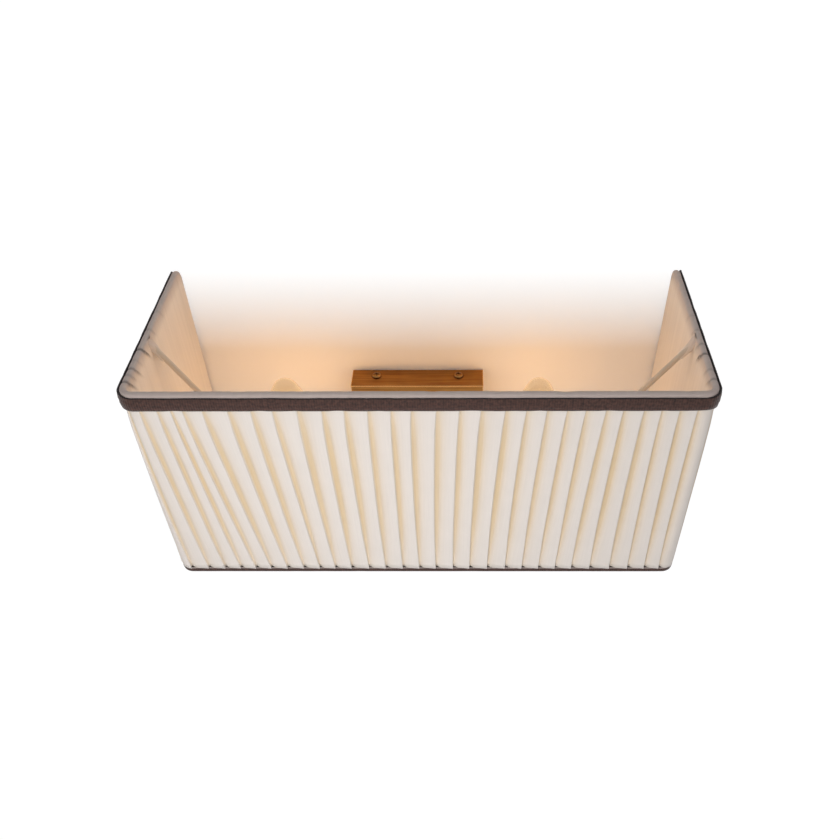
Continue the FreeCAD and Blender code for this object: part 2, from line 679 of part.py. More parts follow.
def lamp_glass(label, side):
    """Blown envelope of even wall, blunt at the tip and open at the neck."""
    body = new_body(label)
    turn(body, f"{label}_outside", [("0", "neck_foot")] + bulb_outline("0"))
    turn(body, f"{label}_inside", [("0", "neck_foot")] + bulb_outline("bulb_wall"), "Groove")
    return at_lamp(body, side, LAMP_BASE)


def lamp_stem(label, side):
    """Glass stem from the neck, with two wire spiders that hold the filaments."""
    body = new_body(label)
    wire = "spider_wire / 2"
    top = "(stem_top + 2 * spider_wire + filament_length)"
    outline = [("0", "neck_foot"), ("stem_radius", "neck_foot"),
               ("stem_neck_radius", "stem_flare_top"),
               ("stem_neck_radius", "stem_top - stem_shoulder"),
               (wire, "stem_top"), (wire, top), ("0", top)]
    turn(body, f"{label}_column", outline)
    for name, level in (("low", "stem_top"), ("high", f"{top} - spider_wire")):
        for way, (x_size, y_size) in (("x", ("2 * filament_circle + filament_radius", "spider_wire")),
                                      ("y", ("spider_wire", "2 * filament_circle + filament_radius"))):
            pad(body, f"{label}_{name}_{way}", "XY_Plane", rectangle("0", "0", x_size, y_size),
                "spider_wire", lift=level)
    return at_lamp(body, side, LAMP_BASE)


def lamp_filaments(label, side):
    """Upright light-giving sticks, evenly round the stem's wire."""
    sticks = []
    for number in range(round(size("filament_count"))):
        body = new_body(f"{label}_stick_{number + 1}")
        sketch = new_sketch(body, f"{label}_stick_{number + 1}_round", "XY_Plane")
        draw_circle(sketch, "0", "0", "filament_radius")
        extrude(body, sketch, "Pad", "filament_length")
        angle = f"{number} * 360 / filament_count"
        place(body, f"{side} * lamp_spacing / 2 + filament_circle * cos({angle})",
              f"-lamp_reach + filament_circle * sin({angle})",
              f"{LAMP_BASE} + stem_top + spider_wire")
        sticks.append(body)
    return group(label, sticks)


def lamp_cap(label, side):
    """Screw cap, a thin metal cup that the neck is cemented into."""
    body = new_body(label)
    outer = "thread_radius"
    inner = "thread_radius - cap_wall"
    flare = "cap_top - cap_flare_height"
    outline = [("insulator_tip_radius", "cap_foot"), (outer, "cap_foot + cap_taper"),
               (outer, flare), (f"{outer} + cap_flare", "cap_top"),
               (f"{inner} + cap_flare", "cap_top"), (inner, flare),
               (inner, "cap_foot + cap_taper + cap_wall"),
               ("insulator_tip_radius", "cap_foot + 2 * cap_wall")]
    turn(body, f"{label}_cup", outline)
    return at_lamp(body, side, LAMP_BASE)


def lamp_insulator(label, side):
    """Black glass button between the cap and the contact."""
    body = new_body(label)
    outline = [("0", "lamp_contact_height"), ("insulator_tip_radius - insulator_chamfer", "lamp_contact_height"),
               ("insulator_tip_radius", "cap_foot"),
               ("insulator_tip_radius", "cap_foot + 2 * cap_wall"), ("0", "cap_foot + 2 * cap_wall")]
    turn(body, f"{label}_button", outline)
    return at_lamp(body, side, LAMP_BASE)


def lamp_contact(label, side):
    """Centre contact of the lamp."""
    body = new_body(label)
    outline = [("0", "0"), ("lamp_contact_foot", "0"),
               ("lamp_contact_radius", "0.5 * lamp_contact_height"),
               ("lamp_contact_radius", "lamp_contact_height"), ("0", "lamp_contact_height")]
    turn(body, f"{label}_disc", outline)
    return at_lamp(body, side, LAMP_BASE)


# ---------------------------------------------------------------------------------------------
# Shade: plan outline, bands and rounded side outline
# ---------------------------------------------------------------------------------------------
def u_path(depth, level, back):
    """The shade's plan outline a depth inside its outermost plane, from back to back."""
    x = size(f"shade_width / 2 - {depth}")
    front = -size(f"shade_depth - {depth}")
    radius = size(f"corner_radius - {depth}")
    points = [V(-x, -back, level), V(-x, front, level), V(x, front, level), V(x, -back, level)]
    return rounded_path(points, [radius, radius])


def u_band(outside, inside, low, high):
    """An upright band round the shade's three sides."""
    back = size(BACK_LEVEL) - size(ROLL_RADIUS)
    outer = u_path(outside, low, back)
    inner = u_path(inside, low, back)
    ends = [Part.makeLine(outer.Edges[side].Vertexes[side].Point,
                          inner.Edges[side].Vertexes[side].Point) for side in (0, -1)]
    face = Part.Face(Part.Wire(Part.sortEdges(outer.Edges + inner.Edges + ends)[0]))
    return face.extrude(UP * (high - low))


def side_outline(inset):
    """A block as wide as the shade whose side view is the wall panel's outline."""
    top = size(f"shade_height / 2 - {inset}")
    back = -size(f"wall_gap + {inset}")
    radius = size(f"back_corner_radius - {inset}")
    front = -size("shade_depth + trim_thickness")
    x = -size("shade_width / 2 + trim_thickness")
    points = [V(x, front, top), V(x, back, top), V(x, back, -top), V(x, front, -top)]
    path = rounded_path(points, [radius, radius])
    closing = Part.makeLine(points[3], points[0])
    face = Part.Face(Part.Wire(path.Edges + [closing]))
    return face.extrude(V(-2 * x, 0, 0))


# ---------------------------------------------------------------------------------------------
# Shade: wire frame
# ---------------------------------------------------------------------------------------------
def frame_wire_shape():
    """Upper wire: round three sides and down both back edges to half height."""
    x = size(f"shade_width / 2 - {WIRE_AXIS}")
    front = -size(f"shade_depth - {WIRE_AXIS}")
    back = -size(BACK_LEVEL)
    level = size(EDGE_LEVEL)
    points = [V(-x, back, 0), V(-x, back, level), V(-x, front, level),
              V(x, front, level), V(x, back, level), V(x, back, 0)]
    plan = size(f"corner_radius - {WIRE_AXIS}")
    side = size(f"back_corner_radius - {ROLL_RADIUS}")
    return round_bar(rounded_path(points, [side, plan, plan, side]), size("frame_wire / 2"))


def corner_wire_shapes(upper, lower):
    """Upright wires in the two front corners, their ends coped to the wires they are welded to."""
    level = size(EDGE_LEVEL)
    plan = size(f"corner_radius - {WIRE_AXIS}")
    uprights = []
    for side in (-1, 1):
        centre = V(side * size("shade_width / 2 - corner_radius"),
                   -size("shade_depth - corner_radius"), -level)
        foot = centre + V(side, -1, 0).normalize() * plan
        rod = Part.makeCylinder(size("frame_wire / 2"), 2 * level, foot, UP)
        pieces = rod.cut(upper).cut(lower).Solids
        uprights.append(max(pieces, key=lambda piece: piece.Volume))
    return Part.makeCompound(uprights)


COPE_START = "0.42 * frame_wire"  # inside the upper wire, so that the cut leaves a saddle


def fitter_ring(label, side):
    """Flat ring on the lampholder's shoulder, which carries the shade."""
    body = new_body(label)
    sketch = new_sketch(body, f"{label}_plan", "XY_Plane")
    draw_circle(sketch, "0", "0", "ring_outer_radius")
    draw_circle(sketch, "0", "0", "holder_radius + ring_play")
    extrude(body, sketch, "Pad", "ring_thickness")
    return at_lamp(body, side)


def carrier_line(side):
    """Both ends of a carrier arm's middle line, at the upper wire and at the ring's edge."""
    head = V(size("shade_shift") + side * size(f"shade_width / 2 - {WIRE_AXIS}"),
             -size("carrier_reach"), size(f"shade_rise + {EDGE_LEVEL}"))
    foot = V(side * size("lamp_spacing / 2 + ring_outer_radius"), -size("lamp_reach"),
             size("ring_level + ring_thickness / 2"))
    return head, foot


def carrier_arm(label, side, upper, ring):
    """Straight rod welded between the upper wire and the edge of the ring."""
    head, foot = carrier_line(side)
    way = (foot - head).normalize()
    start = head + way * size(COPE_START)
    rod = Part.makeCylinder(size("carrier_radius"), (foot - start).Length, start, way)
    wire = upper.copy()
    wire.translate(V(size("shade_shift"), 0, size("shade_rise")))
    pieces = rod.cut(wire).cut(ring.Shape).Solids
    return swept_piece(label, max(pieces, key=lambda piece: piece.Volume))


# ---------------------------------------------------------------------------------------------
# Shade: lining, turned over the frame all the way round
# ---------------------------------------------------------------------------------------------
def roll_half():
    """The turned-over edge of the right half: a hook section swept round the panel's outline."""
    radius = size(ROLL_RADIUS)
    bore = radius - size("lining_thickness")
    leg = size("turnover")
    lap = 3 * size("lining_thickness")
    x = size(f"shade_width / 2 - {ROLL_AXIS}")
    front = -size(f"shade_depth - {ROLL_AXIS}")
    back = -size(BACK_LEVEL)
    level = size(EDGE_LEVEL)
    start = V(0, front, -level)

    def spot(out, edgeways):
        return start + V(0, -out, -edgeways)

    section = Part.Wire([
        Part.makeLine(spot(-radius, -lap), spot(-radius, 0)),
        Part.Arc(spot(-radius, 0), spot(0, radius), spot(radius, 0)).toShape(),
        Part.makeLine(spot(radius, 0), spot(radius, -leg)),
        Part.makeLine(spot(radius, -leg), spot(bore, -leg)),
        Part.makeLine(spot(bore, -leg), spot(bore, 0)),
        Part.Arc(spot(bore, 0), spot(0, bore), spot(-bore, 0)).toShape(),
        Part.makeLine(spot(-bore, 0), spot(-bore, -lap)),
        Part.makeLine(spot(-bore, -lap), spot(-radius, -lap))])
    points = [start, V(x, front, -level), V(x, back, -level), V(x, back, level),
              V(x, front, level), V(0, front, level)]
    plan = size(f"corner_radius - {ROLL_AXIS}")
    side = size(f"back_corner_radius - {ROLL_RADIUS}")
    path = rounded_path(points, [plan, side, side, plan])
    return path.makePipe(Part.Face(section))


def lining(carriers):
    """Inner cloth: three flat sides whose whole edge is rolled outwards over the frame."""
    level = size(EDGE_LEVEL)
    panel = u_band(f"{LINING_IN} - lining_thickness", LINING_IN, -level, level)
    panel = panel.common(side_outline(ROLL_RADIUS))
    half = roll_half()
    other = half.mirror(V(0, 0, 0), V(1, 0, 0))
    cloth = panel.fuse([half, other]).removeSplitter()
    for head, foot in carriers:
        shift = V(size("shade_shift"), 0, size("shade_rise"))
        way = (foot - head).normalize()
        hole = Part.makeCylinder(size("carrier_radius + 2 * layer_gap"), (foot - head).Length / 3,
                                 head - shift + way * size(COPE_START), way)
        cloth = cloth.cut(hole)
    return max(cloth.Solids, key=lambda piece: piece.Volume)


# ---------------------------------------------------------------------------------------------
# Shade: pleated cover
# ---------------------------------------------------------------------------------------------
def wall_run():
    """Half lengths of the front's straight run, a corner's arc and a side's straight run."""
    front = size("shade_width / 2 - corner_radius")
    arc = size("corner_radius") * math.pi / 2
    side = size(f"shade_depth - corner_radius - {BACK_LEVEL}")
    return front, arc, side


def wall_point(along, depth, level):
    """The place a distance along the shade's outline from the front's middle, a depth inside."""
    front, arc, side = wall_run()
    radius = size("corner_radius")
    hand = math.copysign(1.0, along)
    run = abs(along)
    pivot = V(hand * front, radius - size("shade_depth"), level)
    if run <= front:
        return V(along, depth - size("shade_depth"), level)
    if run <= front + arc:
        angle = (run - front) / radius
        return pivot + V(hand * math.sin(angle), -math.cos(angle), 0) * (radius - depth)
    return pivot + V(hand * (radius - depth), run - front - arc, 0)


def pleat_lean(along):
    """How far a pleat's top lies to the right of its foot; the corners stand upright."""
    front = wall_run()[0]
    if abs(along) >= front:
        return 0.0
    share = abs(along) / front
    name = "lean_left" if along < 0 else "lean_right"
    bend = math.log(0.5) / math.log(size(f"{name}_peak"))
    return math.copysign(size(name), along) * math.sin(math.pi * share ** bend)


def pleat_valleys():
    """Distances along the outline of the folds' feet, from the left back edge to the right."""
    end = sum(wall_run()) - size("side_margin + pleat_open_width")
    pitch = size("pleat_pitch")
    phase = size("pleat_phase")
    first = math.ceil((-end - phase) / pitch)
    last = math.floor((end - phase) / pitch)
    return [phase + number * pitch for number in range(first, last + 1)]


VALLEY_NEAR = 0.2   # share of a valley's width taken by its steep side
VALLEY_FAR = 0.35   # and by the side that the next pleat leans over


def crown_arcs(start, end, edge_depth, crown, level):
    """Two arcs over a pleat's back, highest in the middle."""
    def spot(share):
        depth = edge_depth - crown * (1 - (2 * share - 1) ** 2)
        return wall_point(start + (end - start) * share, depth, level)

    arcs = []
    for low, mid, high in ((0.0, 0.25, 0.5), (0.5, 0.75, 1.0)):
        arcs.append(Part.Arc(spot(low), spot(mid), spot(high)).toShape())
    return arcs


def cover_row(level, openness):
    """The pleats' outer line at one level, pressed shut (0) to fully open (1)."""
    def between(shut, opened):
        return size(shut) + (size(opened) - size(shut)) * openness

    floor = size(COVER_FLOOR)
    rest = size(COVER_OUT)
    edge_depth = between(COVER_OUT, f"{COVER_FLOOR} - pleat_open_depth + pleat_crown")
    crown = between("pleat_closed_crown", "pleat_crown")
    width = between("pleat_closed_width", "pleat_open_width")
    height = 2 * size(EDGE_LEVEL)
    share = level / height + 0.5
    end = sum(wall_run())
    margin = size("side_margin")
    edges = [Part.makeLine(wall_point(-end, rest, level), wall_point(margin - end, rest, level))]
    ramp = margin / 4
    start = margin - end + ramp
    edges.append(Part.makeLine(wall_point(margin - end, rest, level),
                               wall_point(start, edge_depth, level)))
    for foot in pleat_valleys():
        middle = foot + pleat_lean(foot) * share
        near = middle - width / 2
        far = middle + width / 2
        edges += crown_arcs(start, near, edge_depth, crown, level)
        line = [wall_point(near, edge_depth, level),
                wall_point(near + width * VALLEY_NEAR, floor, level),
                wall_point(far - width * VALLEY_FAR, floor, level),
                wall_point(far, edge_depth, level)]
        edges += [Part.makeLine(line[number], line[number + 1]) for number in range(3)]
        start = far
    finish = end - margin - ramp
    edges += crown_arcs(start, finish, edge_depth, crown, level)
    edges.append(Part.makeLine(wall_point(finish, edge_depth, level),
                               wall_point(end - margin, rest, level)))
    edges.append(Part.makeLine(wall_point(end - margin, rest, level),
                               wall_point(end, rest, level)))
    return edges


def pleated_cover():
    """Knife-pleated cloth: folds pressed shut at both edges that open and lean in between."""
    level = size(EDGE_LEVEL)
    half = size("pleat_open_half")
    stations = [(-level, 0.0), (-half, 1.0), (half, 1.0), (level, 0.0)]
    rows = []
    for height, openness in stations:
        outer = cover_row(height, openness)
        inner = u_path(COVER_IN, height, size(BACK_LEVEL)).Edges
        left = Part.makeLine(inner[0].Vertexes[0].Point, outer[0].Vertexes[0].Point)
        right = Part.makeLine(outer[-1].Vertexes[-1].Point, inner[-1].Vertexes[-1].Point)
        rows.append([left] + outer + [right] + inner[::-1])
    faces = []
    for lower, upper in zip(rows, rows[1:]):
        faces += [Part.makeRuledSurface(low, high) for low, high in zip(lower, upper)]
    for row in (rows[0], rows[-1]):
        faces.append(Part.Face(Part.Wire(Part.sortEdges(row)[0])))
    shell = Part.makeShell(faces)
    shell.sewShape()
    solid = Part.makeSolid(shell)
    if solid.Volume < 0:
        solid.reverse()
    return solid.common(side_outline(ROLL_RADIUS)).Solids[0]


def trim_band(outside, inside, low, high, inset):
    """A flat trim band between two levels, its back ends following the rounded side outline."""
    return u_band(outside, inside, size(low), size(high)).common(side_outline(inset))


# ---------------------------------------------------------------------------------------------
# The whole light
# ---------------------------------------------------------------------------------------------
def build():
    """Every sub-part, in the order in which the light is put together."""
    parts = [wall_bracket(), cable_grommet(), terminal_block(), terminal_screws(), earth_screw(),
             box_cover(), cover_screws(), arm_collars(), arm_lock_nuts()]
    rings = {}
    for name, side in (("left", -1), ("right", 1)):
        rings[side] = fitter_ring(f"fitter_ring_{name}", side)
        parts += [arm_tube(f"arm_tube_{name}", side), lamp_lead(f"lamp_lead_{name}", side),
                  lampholder(f"lampholder_{name}", side), holder_shell(f"holder_shell_{name}", side),
                  holder_contact(f"holder_contact_{name}", side), rings[side],
                  ring_nut(f"ring_nut_{name}", side), lamp_cap(f"lamp_cap_{name}", side),
                  lamp_insulator(f"lamp_insulator_{name}", side),
                  lamp_contact(f"lamp_contact_{name}", side), lamp_stem(f"lamp_stem_{name}", side),
                  lamp_filaments(f"lamp_filaments_{name}", side),
                  lamp_glass(f"lamp_glass_{name}", side)]
    doc.recompute()
    upper = frame_wire_shape()
    lower = upper.mirror(V(0, 0, 0), UP)
    carriers = {side: carrier_line(side) for side in (-1, 1)}
    shade = [("frame_upper_wire", upper), ("frame_lower_wire", lower),
             ("frame_corner_wires", corner_wire_shapes(upper, lower)),
             ("lining", lining(carriers.values())), ("pleated_cover", pleated_cover()),
             ("top_trim", trim_band("0", "trim_thickness",
                                    "shade_height / 2 - top_trim_drop - top_trim_height",
                                    "shade_height / 2 - top_trim_drop", "top_trim_drop")),
             ("bottom_trim", trim_band("layer_gap", "trim_thickness",
                                       "bottom_trim_lift - shade_height / 2",
                                       "bottom_trim_lift + bottom_trim_height - shade_height / 2",
                                       "bottom_trim_lift"))]
    for label, shape in shade:
        parts.append(swept_piece(label, shape, "shade_shift", "shade_rise"))
    for name, side in (("left", -1), ("right", 1)):
        parts.append(carrier_arm(f"carrier_arm_{name}", side, upper, rings[side]))
    return parts


def check(parts):
    """Stop if any object failed to rebuild or any sub-part isn't a sound solid."""
    for thing in doc.Objects:
        if "Invalid" in thing.State or "Error" in thing.State:
            raise RuntimeError(f"{thing.Label} failed: {thing.State}")
    for part in parts:
        shape = part.Shape
        if shape.isNull() or not shape.isValid() or not shape.Solids:
            raise RuntimeError(f"{part.Label} has no valid solid")


def main():
    parts = build()
    doc.recompute()
    check(parts)
    os.makedirs("parts", exist_ok=True)
    for part in parts:
        part.Shape.exportStep(f"parts/{part.Label}.step")
        box = part.Shape.BoundBox
        print(f"{part.Label}: {len(part.Shape.Solids)} solid(s), {len(part.Shape.Faces)} faces, "
              f"{box.XLength:.1f} x {box.YLength:.1f} x {box.ZLength:.1f} mm")


main()
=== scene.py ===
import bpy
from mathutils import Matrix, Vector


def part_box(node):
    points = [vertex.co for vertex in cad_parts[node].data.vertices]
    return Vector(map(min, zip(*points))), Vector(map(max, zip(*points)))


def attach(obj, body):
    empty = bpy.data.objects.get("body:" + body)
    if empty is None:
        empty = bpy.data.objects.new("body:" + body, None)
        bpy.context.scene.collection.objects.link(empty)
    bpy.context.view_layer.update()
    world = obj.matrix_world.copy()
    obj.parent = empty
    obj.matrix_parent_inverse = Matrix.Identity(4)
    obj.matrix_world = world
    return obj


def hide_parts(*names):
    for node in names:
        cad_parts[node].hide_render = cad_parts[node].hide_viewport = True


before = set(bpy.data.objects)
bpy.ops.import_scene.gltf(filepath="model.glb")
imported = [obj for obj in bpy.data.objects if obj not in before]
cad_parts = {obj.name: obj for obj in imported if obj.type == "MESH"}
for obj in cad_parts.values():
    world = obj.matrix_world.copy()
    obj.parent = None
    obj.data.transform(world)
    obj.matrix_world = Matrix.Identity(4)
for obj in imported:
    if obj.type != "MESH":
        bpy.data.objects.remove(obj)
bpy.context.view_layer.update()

# Fabric shade wall light: the pleated shade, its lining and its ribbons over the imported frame.
# The wall is the plane Y = 0, +Z is up, and all lengths are metres unless a name says otherwise.
import ast
import math

import bmesh
import bpy
from mathutils import Matrix, Vector, noise

bl_info = {
    "name": "Fabric Shade Wall Light",
    "version": (1, 0, 0),
    "blender": (4, 5, 0),
    "location": "3D View > Sidebar > Wall Light",
    "description": "Builds the cloth, ribbons and finishes of a pleated wall light",
    "category": "Object",
}

MM = 0.001


# ---------------------------------------------------------------------------------------------
# Small tools
# ---------------------------------------------------------------------------------------------
def linear(code):
    """A colour from its sRGB hex code, in linear light."""
    channels = [int(code[start:start + 2], 16) / 255 for start in (1, 3, 5)]
    return tuple(c / 12.92 if c <= 0.04045 else ((c + 0.055) / 1.055) ** 2.4 for c in channels)


def add(tree, kind, inputs=None, **settings):
    """A node with its settings, and its inputs set or linked by name or number."""
    node = tree.nodes.new(kind)
    for name, value in settings.items():
        setattr(node, name, value)
    for key, value in (inputs or {}).items():
        socket = node.inputs[key]
        if isinstance(value, bpy.types.NodeSocket):
            tree.links.new(value, socket)
        else:
            socket.default_value = value
    return node


OPERATIONS = {
    ast.Add: "ADD", ast.Sub: "SUBTRACT", ast.Mult: "MULTIPLY", ast.Div: "DIVIDE",
    ast.Pow: "POWER", "min": "MINIMUM", "max": "MAXIMUM", "sin": "SINE", "cos": "COSINE",
    "floor": "FLOOR", "abs": "ABSOLUTE", "sign": "SIGN", "sqrt": "SQRT",
}


def formula(tree, text, **names):
    """Math nodes for a line of plain arithmetic on sockets and numbers; returns the last socket."""
    def grow(part):
        if isinstance(part, ast.Constant):
            return float(part.value)
        if isinstance(part, ast.Name):
            return math.pi if part.id == "pi" else names[part.id]
        if isinstance(part, ast.UnaryOp):
            kind, values = "MULTIPLY", [grow(part.operand), -1.0]
        elif isinstance(part, ast.BinOp):
            kind, values = OPERATIONS[type(part.op)], [grow(part.left), grow(part.right)]
        else:
            kind, values = OPERATIONS[part.func.id], [grow(item) for item in part.args]
        node = add(tree, "ShaderNodeMath", dict(enumerate(values)), operation=kind)
        return node.outputs[0]

    return grow(ast.parse(text).body[0].value)


def curve_of(tree, value, points):
    """A smooth curve through a few points, read at a value."""
    node = add(tree, "ShaderNodeFloatCurve", {"Value": value})
    node.mapping.use_clip = False
    line = node.mapping.curves[0]
    while len(line.points) < len(points):
        line.points.new(0.5, 0.5)
    for spot, place in zip(line.points, points):
        spot.location = place
        spot.handle_type = "AUTO_CLAMPED"
    node.mapping.update()
    return node.outputs[0]


def new_tree(name, sizes):
    """A geometry tree with one named number input for each size and a material input."""
    tree = bpy.data.node_groups.new(name, "GeometryNodeTree")
    tree.interface.new_socket("Geometry", in_out="OUTPUT", socket_type="NodeSocketGeometry")
    for size_name in sizes:
        kind = "NodeSocketInt" if isinstance(sizes[size_name], int) else "NodeSocketFloat"
        socket = tree.interface.new_socket(size_name, in_out="INPUT", socket_type=kind)
        socket.default_value = sizes[size_name]
    tree.interface.new_socket("Material", in_out="INPUT", socket_type="NodeSocketMaterial")
    entry = add(tree, "NodeGroupInput")
    return tree, {socket.name: socket for socket in entry.outputs if socket.name}


def close_tree(tree, geometry, material):
    """The tree's end: real geometry with the material on it."""
    real = add(tree, "GeometryNodeRealizeInstances", {"Geometry": geometry})
    dressed = add(tree, "GeometryNodeSetMaterial", {"Geometry": real.outputs[0],
                                                    "Material": material})
    add(tree, "NodeGroupOutput", {"Geometry": dressed.outputs[0]})


def grown(name, tree, values):
    """A plain mesh piece made by a tree, with the tree's named inputs set."""
    piece = new_piece(name, bpy.data.meshes.new(name))
    modifier = piece.modifiers.new("rule", "NODES")
    modifier.node_group = tree
    for item in tree.interface.items_tree:
        if item.in_out == "INPUT" and item.name in values:
            modifier[item.identifier] = values[item.name]
    view = bpy.context.evaluated_depsgraph_get()
    mesh = bpy.data.meshes.new_from_object(piece.evaluated_get(view),
                                           preserve_all_data_layers=True, depsgraph=view)
    piece.modifiers.remove(modifier)
    piece.data = mesh
    mesh.shade_smooth()
    return piece


def new_piece(name, data):
    piece = bpy.data.objects.new(name, data)
    bpy.context.scene.collection.objects.link(piece)
    return piece


def thicken(piece, thickness):
    """A sheet gets its thickness, inwards from its outer face."""
    cloth = piece.modifiers.new("cloth", "SOLIDIFY")
    cloth.thickness = thickness
    cloth.offset = -1.0


def finish_node(node, material):
    """A frame solid keeps its shape and takes a finish."""
    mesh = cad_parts[node].data
    mesh.materials.clear()
    mesh.materials.append(material)


# ---------------------------------------------------------------------------------------------
# Sizes and colours that a user would change
# ---------------------------------------------------------------------------------------------
def length(name, value, text):
    return bpy.props.FloatProperty(name=name, default=value * MM, unit="LENGTH", precision=4,
                                   description=text)


def shade_colour(name, code, text):
    return bpy.props.FloatVectorProperty(name=name, default=linear(code), subtype="COLOR",
                                         min=0.0, max=1.0, description=text)


class WALLLIGHT_sizes(bpy.types.PropertyGroup):
    """Sizes of the cloth shade."""
    width: length("Width", 400.0, "Outside width of the shade")
    depth: length("Depth", 155.0, "From the wall to the shade's front")
    height: length("Height", 190.0, "Height of the shade")
    shift: length("Shift", 10.0, "The shade's middle, right of the wall box's middle")
    rise: length("Rise", 39.0, "The shade's middle, above the wall box's middle")
    corner: length("Corner radius", 11.0, "Radius of the front corners seen from above")
    back_corner: length("Back corner radius", 8.5, "Radius of the side panels' wall corners")
    wall_gap: length("Wall gap", 0.5, "Between the shade and the wall")
    roll: length("Roll radius", 2.4, "Radius of the rolled lining over the frame wire")
    roll_axis: length("Roll axis", 3.5, "Depth of the frame wire inside the outermost plane")
    lap: length("Lap", 3.2, "How far the lining laps down on the outside")
    pitch: length("Pleat pitch", 13.44, "Distance between two pleats")
    phase: length("Pleat phase", -2.8, "First pleat line, from the middle of the front")
    floor: length("Valley depth", 2.15, "Depth of the valleys inside the outermost plane")
    valley: length("Open valley", 3.8, "Width of a valley where it is open")
    shut_valley: length("Shut valley", 0.9, "Width of a valley where it is pressed shut")
    lean: length("Lean", 25.0, "Full scale of the pleats' lean along the front")
    stray: length("Stray", 5.0, "Full scale of the pleats' stray from their even spacing")
    uneven: length("Unevenness", 2.0, "Random part of that stray")
    hem: length("Hem", 4.6, "From the hem up to the shade's lowest edge")
    top_low: length("Top ribbon foot", 81.0, "Lower edge of the top ribbon, from the middle")
    top_high: length("Top ribbon head", 92.0, "Upper edge of the top ribbon, from the middle")
    bottom_low: length("Bottom ribbon foot", 94.7, "Lower edge of the bottom ribbon, below the middle")
    bottom_high: length("Bottom ribbon head", 89.2, "Upper edge of the bottom ribbon, below the middle")
    seed: bpy.props.IntProperty(name="Seed", default=7, description="Unevenness of the handwork")


class WALLLIGHT_colours(bpy.types.PropertyGroup):
    """Colours of the cloth and of the metal."""
    cover: shade_colour("Cover", "#E9E0D9", "Ivory cotton on the pleats' faces")
    # Valley: painted lamp light through the single layer and painted shade deep in the valleys.
    valley: shade_colour("Valley", "#DFC59D", "The same cotton deep in the valleys")
    lining: shade_colour("Lining", "#F2E9DE", "Lining cloth")
    # Roll: painted shade on the lining where it is rolled over the wire.
    roll: shade_colour("Roll", "#B9AAA4", "Lining cloth where it is rolled over the wire")
    ribbon: shade_colour("Ribbon", "#452C25", "Ribbed ribbon")
    # Ribbon top shade: painted shade along the ribbon's upper edge.
    ribbon_top_shade: shade_colour("Ribbon edge", "#1F1416", "Woven upper edge of the ribbon")
    brass: shade_colour("Brass", "#BE8642", "Brushed and aged brass")
    brass_dark: shade_colour("Brass, dark", "#86531F", "Aged brass in the brush marks")
    lamp_glow: shade_colour("Lamp glow", "#FFC27A", "Light of the candle lamps")


def sizes():
    return bpy.context.scene.wall_light_sizes


def colours():
    return bpy.context.scene.wall_light_colours


def spans(s):
    """Half lengths of the outline's front run and corner, and its reach to the back edge."""
    front = s.width / 2 - s.corner
    arc = s.corner * math.pi / 2
    end = front + arc + s.depth - s.corner - s.wall_gap - s.roll
    return front, arc, end


# ---------------------------------------------------------------------------------------------
# Materials: cloth
# ---------------------------------------------------------------------------------------------
def new_material(name):
    material = bpy.data.materials.new(name)
    material.use_nodes = True
    material.node_tree.nodes.clear()
    return material, material.node_tree


def close_material(tree, shader):
    add(tree, "ShaderNodeOutputMaterial", {"Surface": shader})


def weave_height(tree, along, across, spacing):
    """Height of a plain weave whose threads lie a spacing apart, over and under in turn."""
    return formula(tree, "0.5 + 0.5 * sin(along * turn) * sin(across * turn)",
                   along=along, across=across, turn=math.pi / spacing)


THREAD_DRAWN = 0.8 * MM  # the real threads are about 0.35 mm apart, too fine to show
RIB_DRAWN = 1.7 * MM     # the real ribs are about 0.9 mm apart, too fine to show


def pleated_cotton():
    """Fine ivory cotton: matte plain weave, with painted lamp light and shade in the valleys."""
    material, tree = new_material("ivory_plain_weave_cotton")
    c = colours()
    uv = add(tree, "ShaderNodeUVMap", uv_map="cloth")
    flat = add(tree, "ShaderNodeSeparateXYZ", {0: uv.outputs[0]})
    painted_shading = add(tree, "ShaderNodeAttribute", attribute_name="painted_shading")
    streaks = add(tree, "ShaderNodeMapping", {"Vector": uv.outputs[0],
                                              "Scale": (900.0, 26.0, 1.0)})
    slubs = add(tree, "ShaderNodeTexNoise", {"Vector": streaks.outputs[0], "Scale": 1.0,
                                             "Detail": 3.0})
    cloud = add(tree, "ShaderNodeTexNoise", {"Vector": uv.outputs[0], "Scale": 55.0,
                                             "Detail": 2.0})
    # Painted lamp light and shade: the valley colour is mixed in by the share stored with the mesh.
    base = add(tree, "ShaderNodeMix", {"Factor": painted_shading.outputs["Fac"],
                                       "A": (*c.cover, 1.0), "B": (*c.valley, 1.0)},
               data_type="RGBA")
    tone = formula(tree, "0.93 + 0.09 * slub + 0.05 * cloud",
                   slub=slubs.outputs["Fac"], cloud=cloud.outputs["Fac"])
    shaded = add(tree, "ShaderNodeVectorMath", {0: base.outputs["Result"], "Scale": tone},
                 operation="SCALE")
    threads = weave_height(tree, flat.outputs["X"], flat.outputs["Y"], THREAD_DRAWN)
    height = formula(tree, "threads + 1.4 * slub", threads=threads, slub=slubs.outputs["Fac"])
    bump = add(tree, "ShaderNodeBump", {"Height": height, "Strength": 0.22,
                                        "Distance": 0.12 * MM})
    shader = add(tree, "ShaderNodeBsdfPrincipled", {
        "Base Color": shaded.outputs[0], "Roughness": 0.86, "Sheen Weight": 0.15,
        "Sheen Roughness": 0.5, "Specular IOR Level": 0.25, "Normal": bump.outputs[0]})
    close_material(tree, shader.outputs[0])
    return material


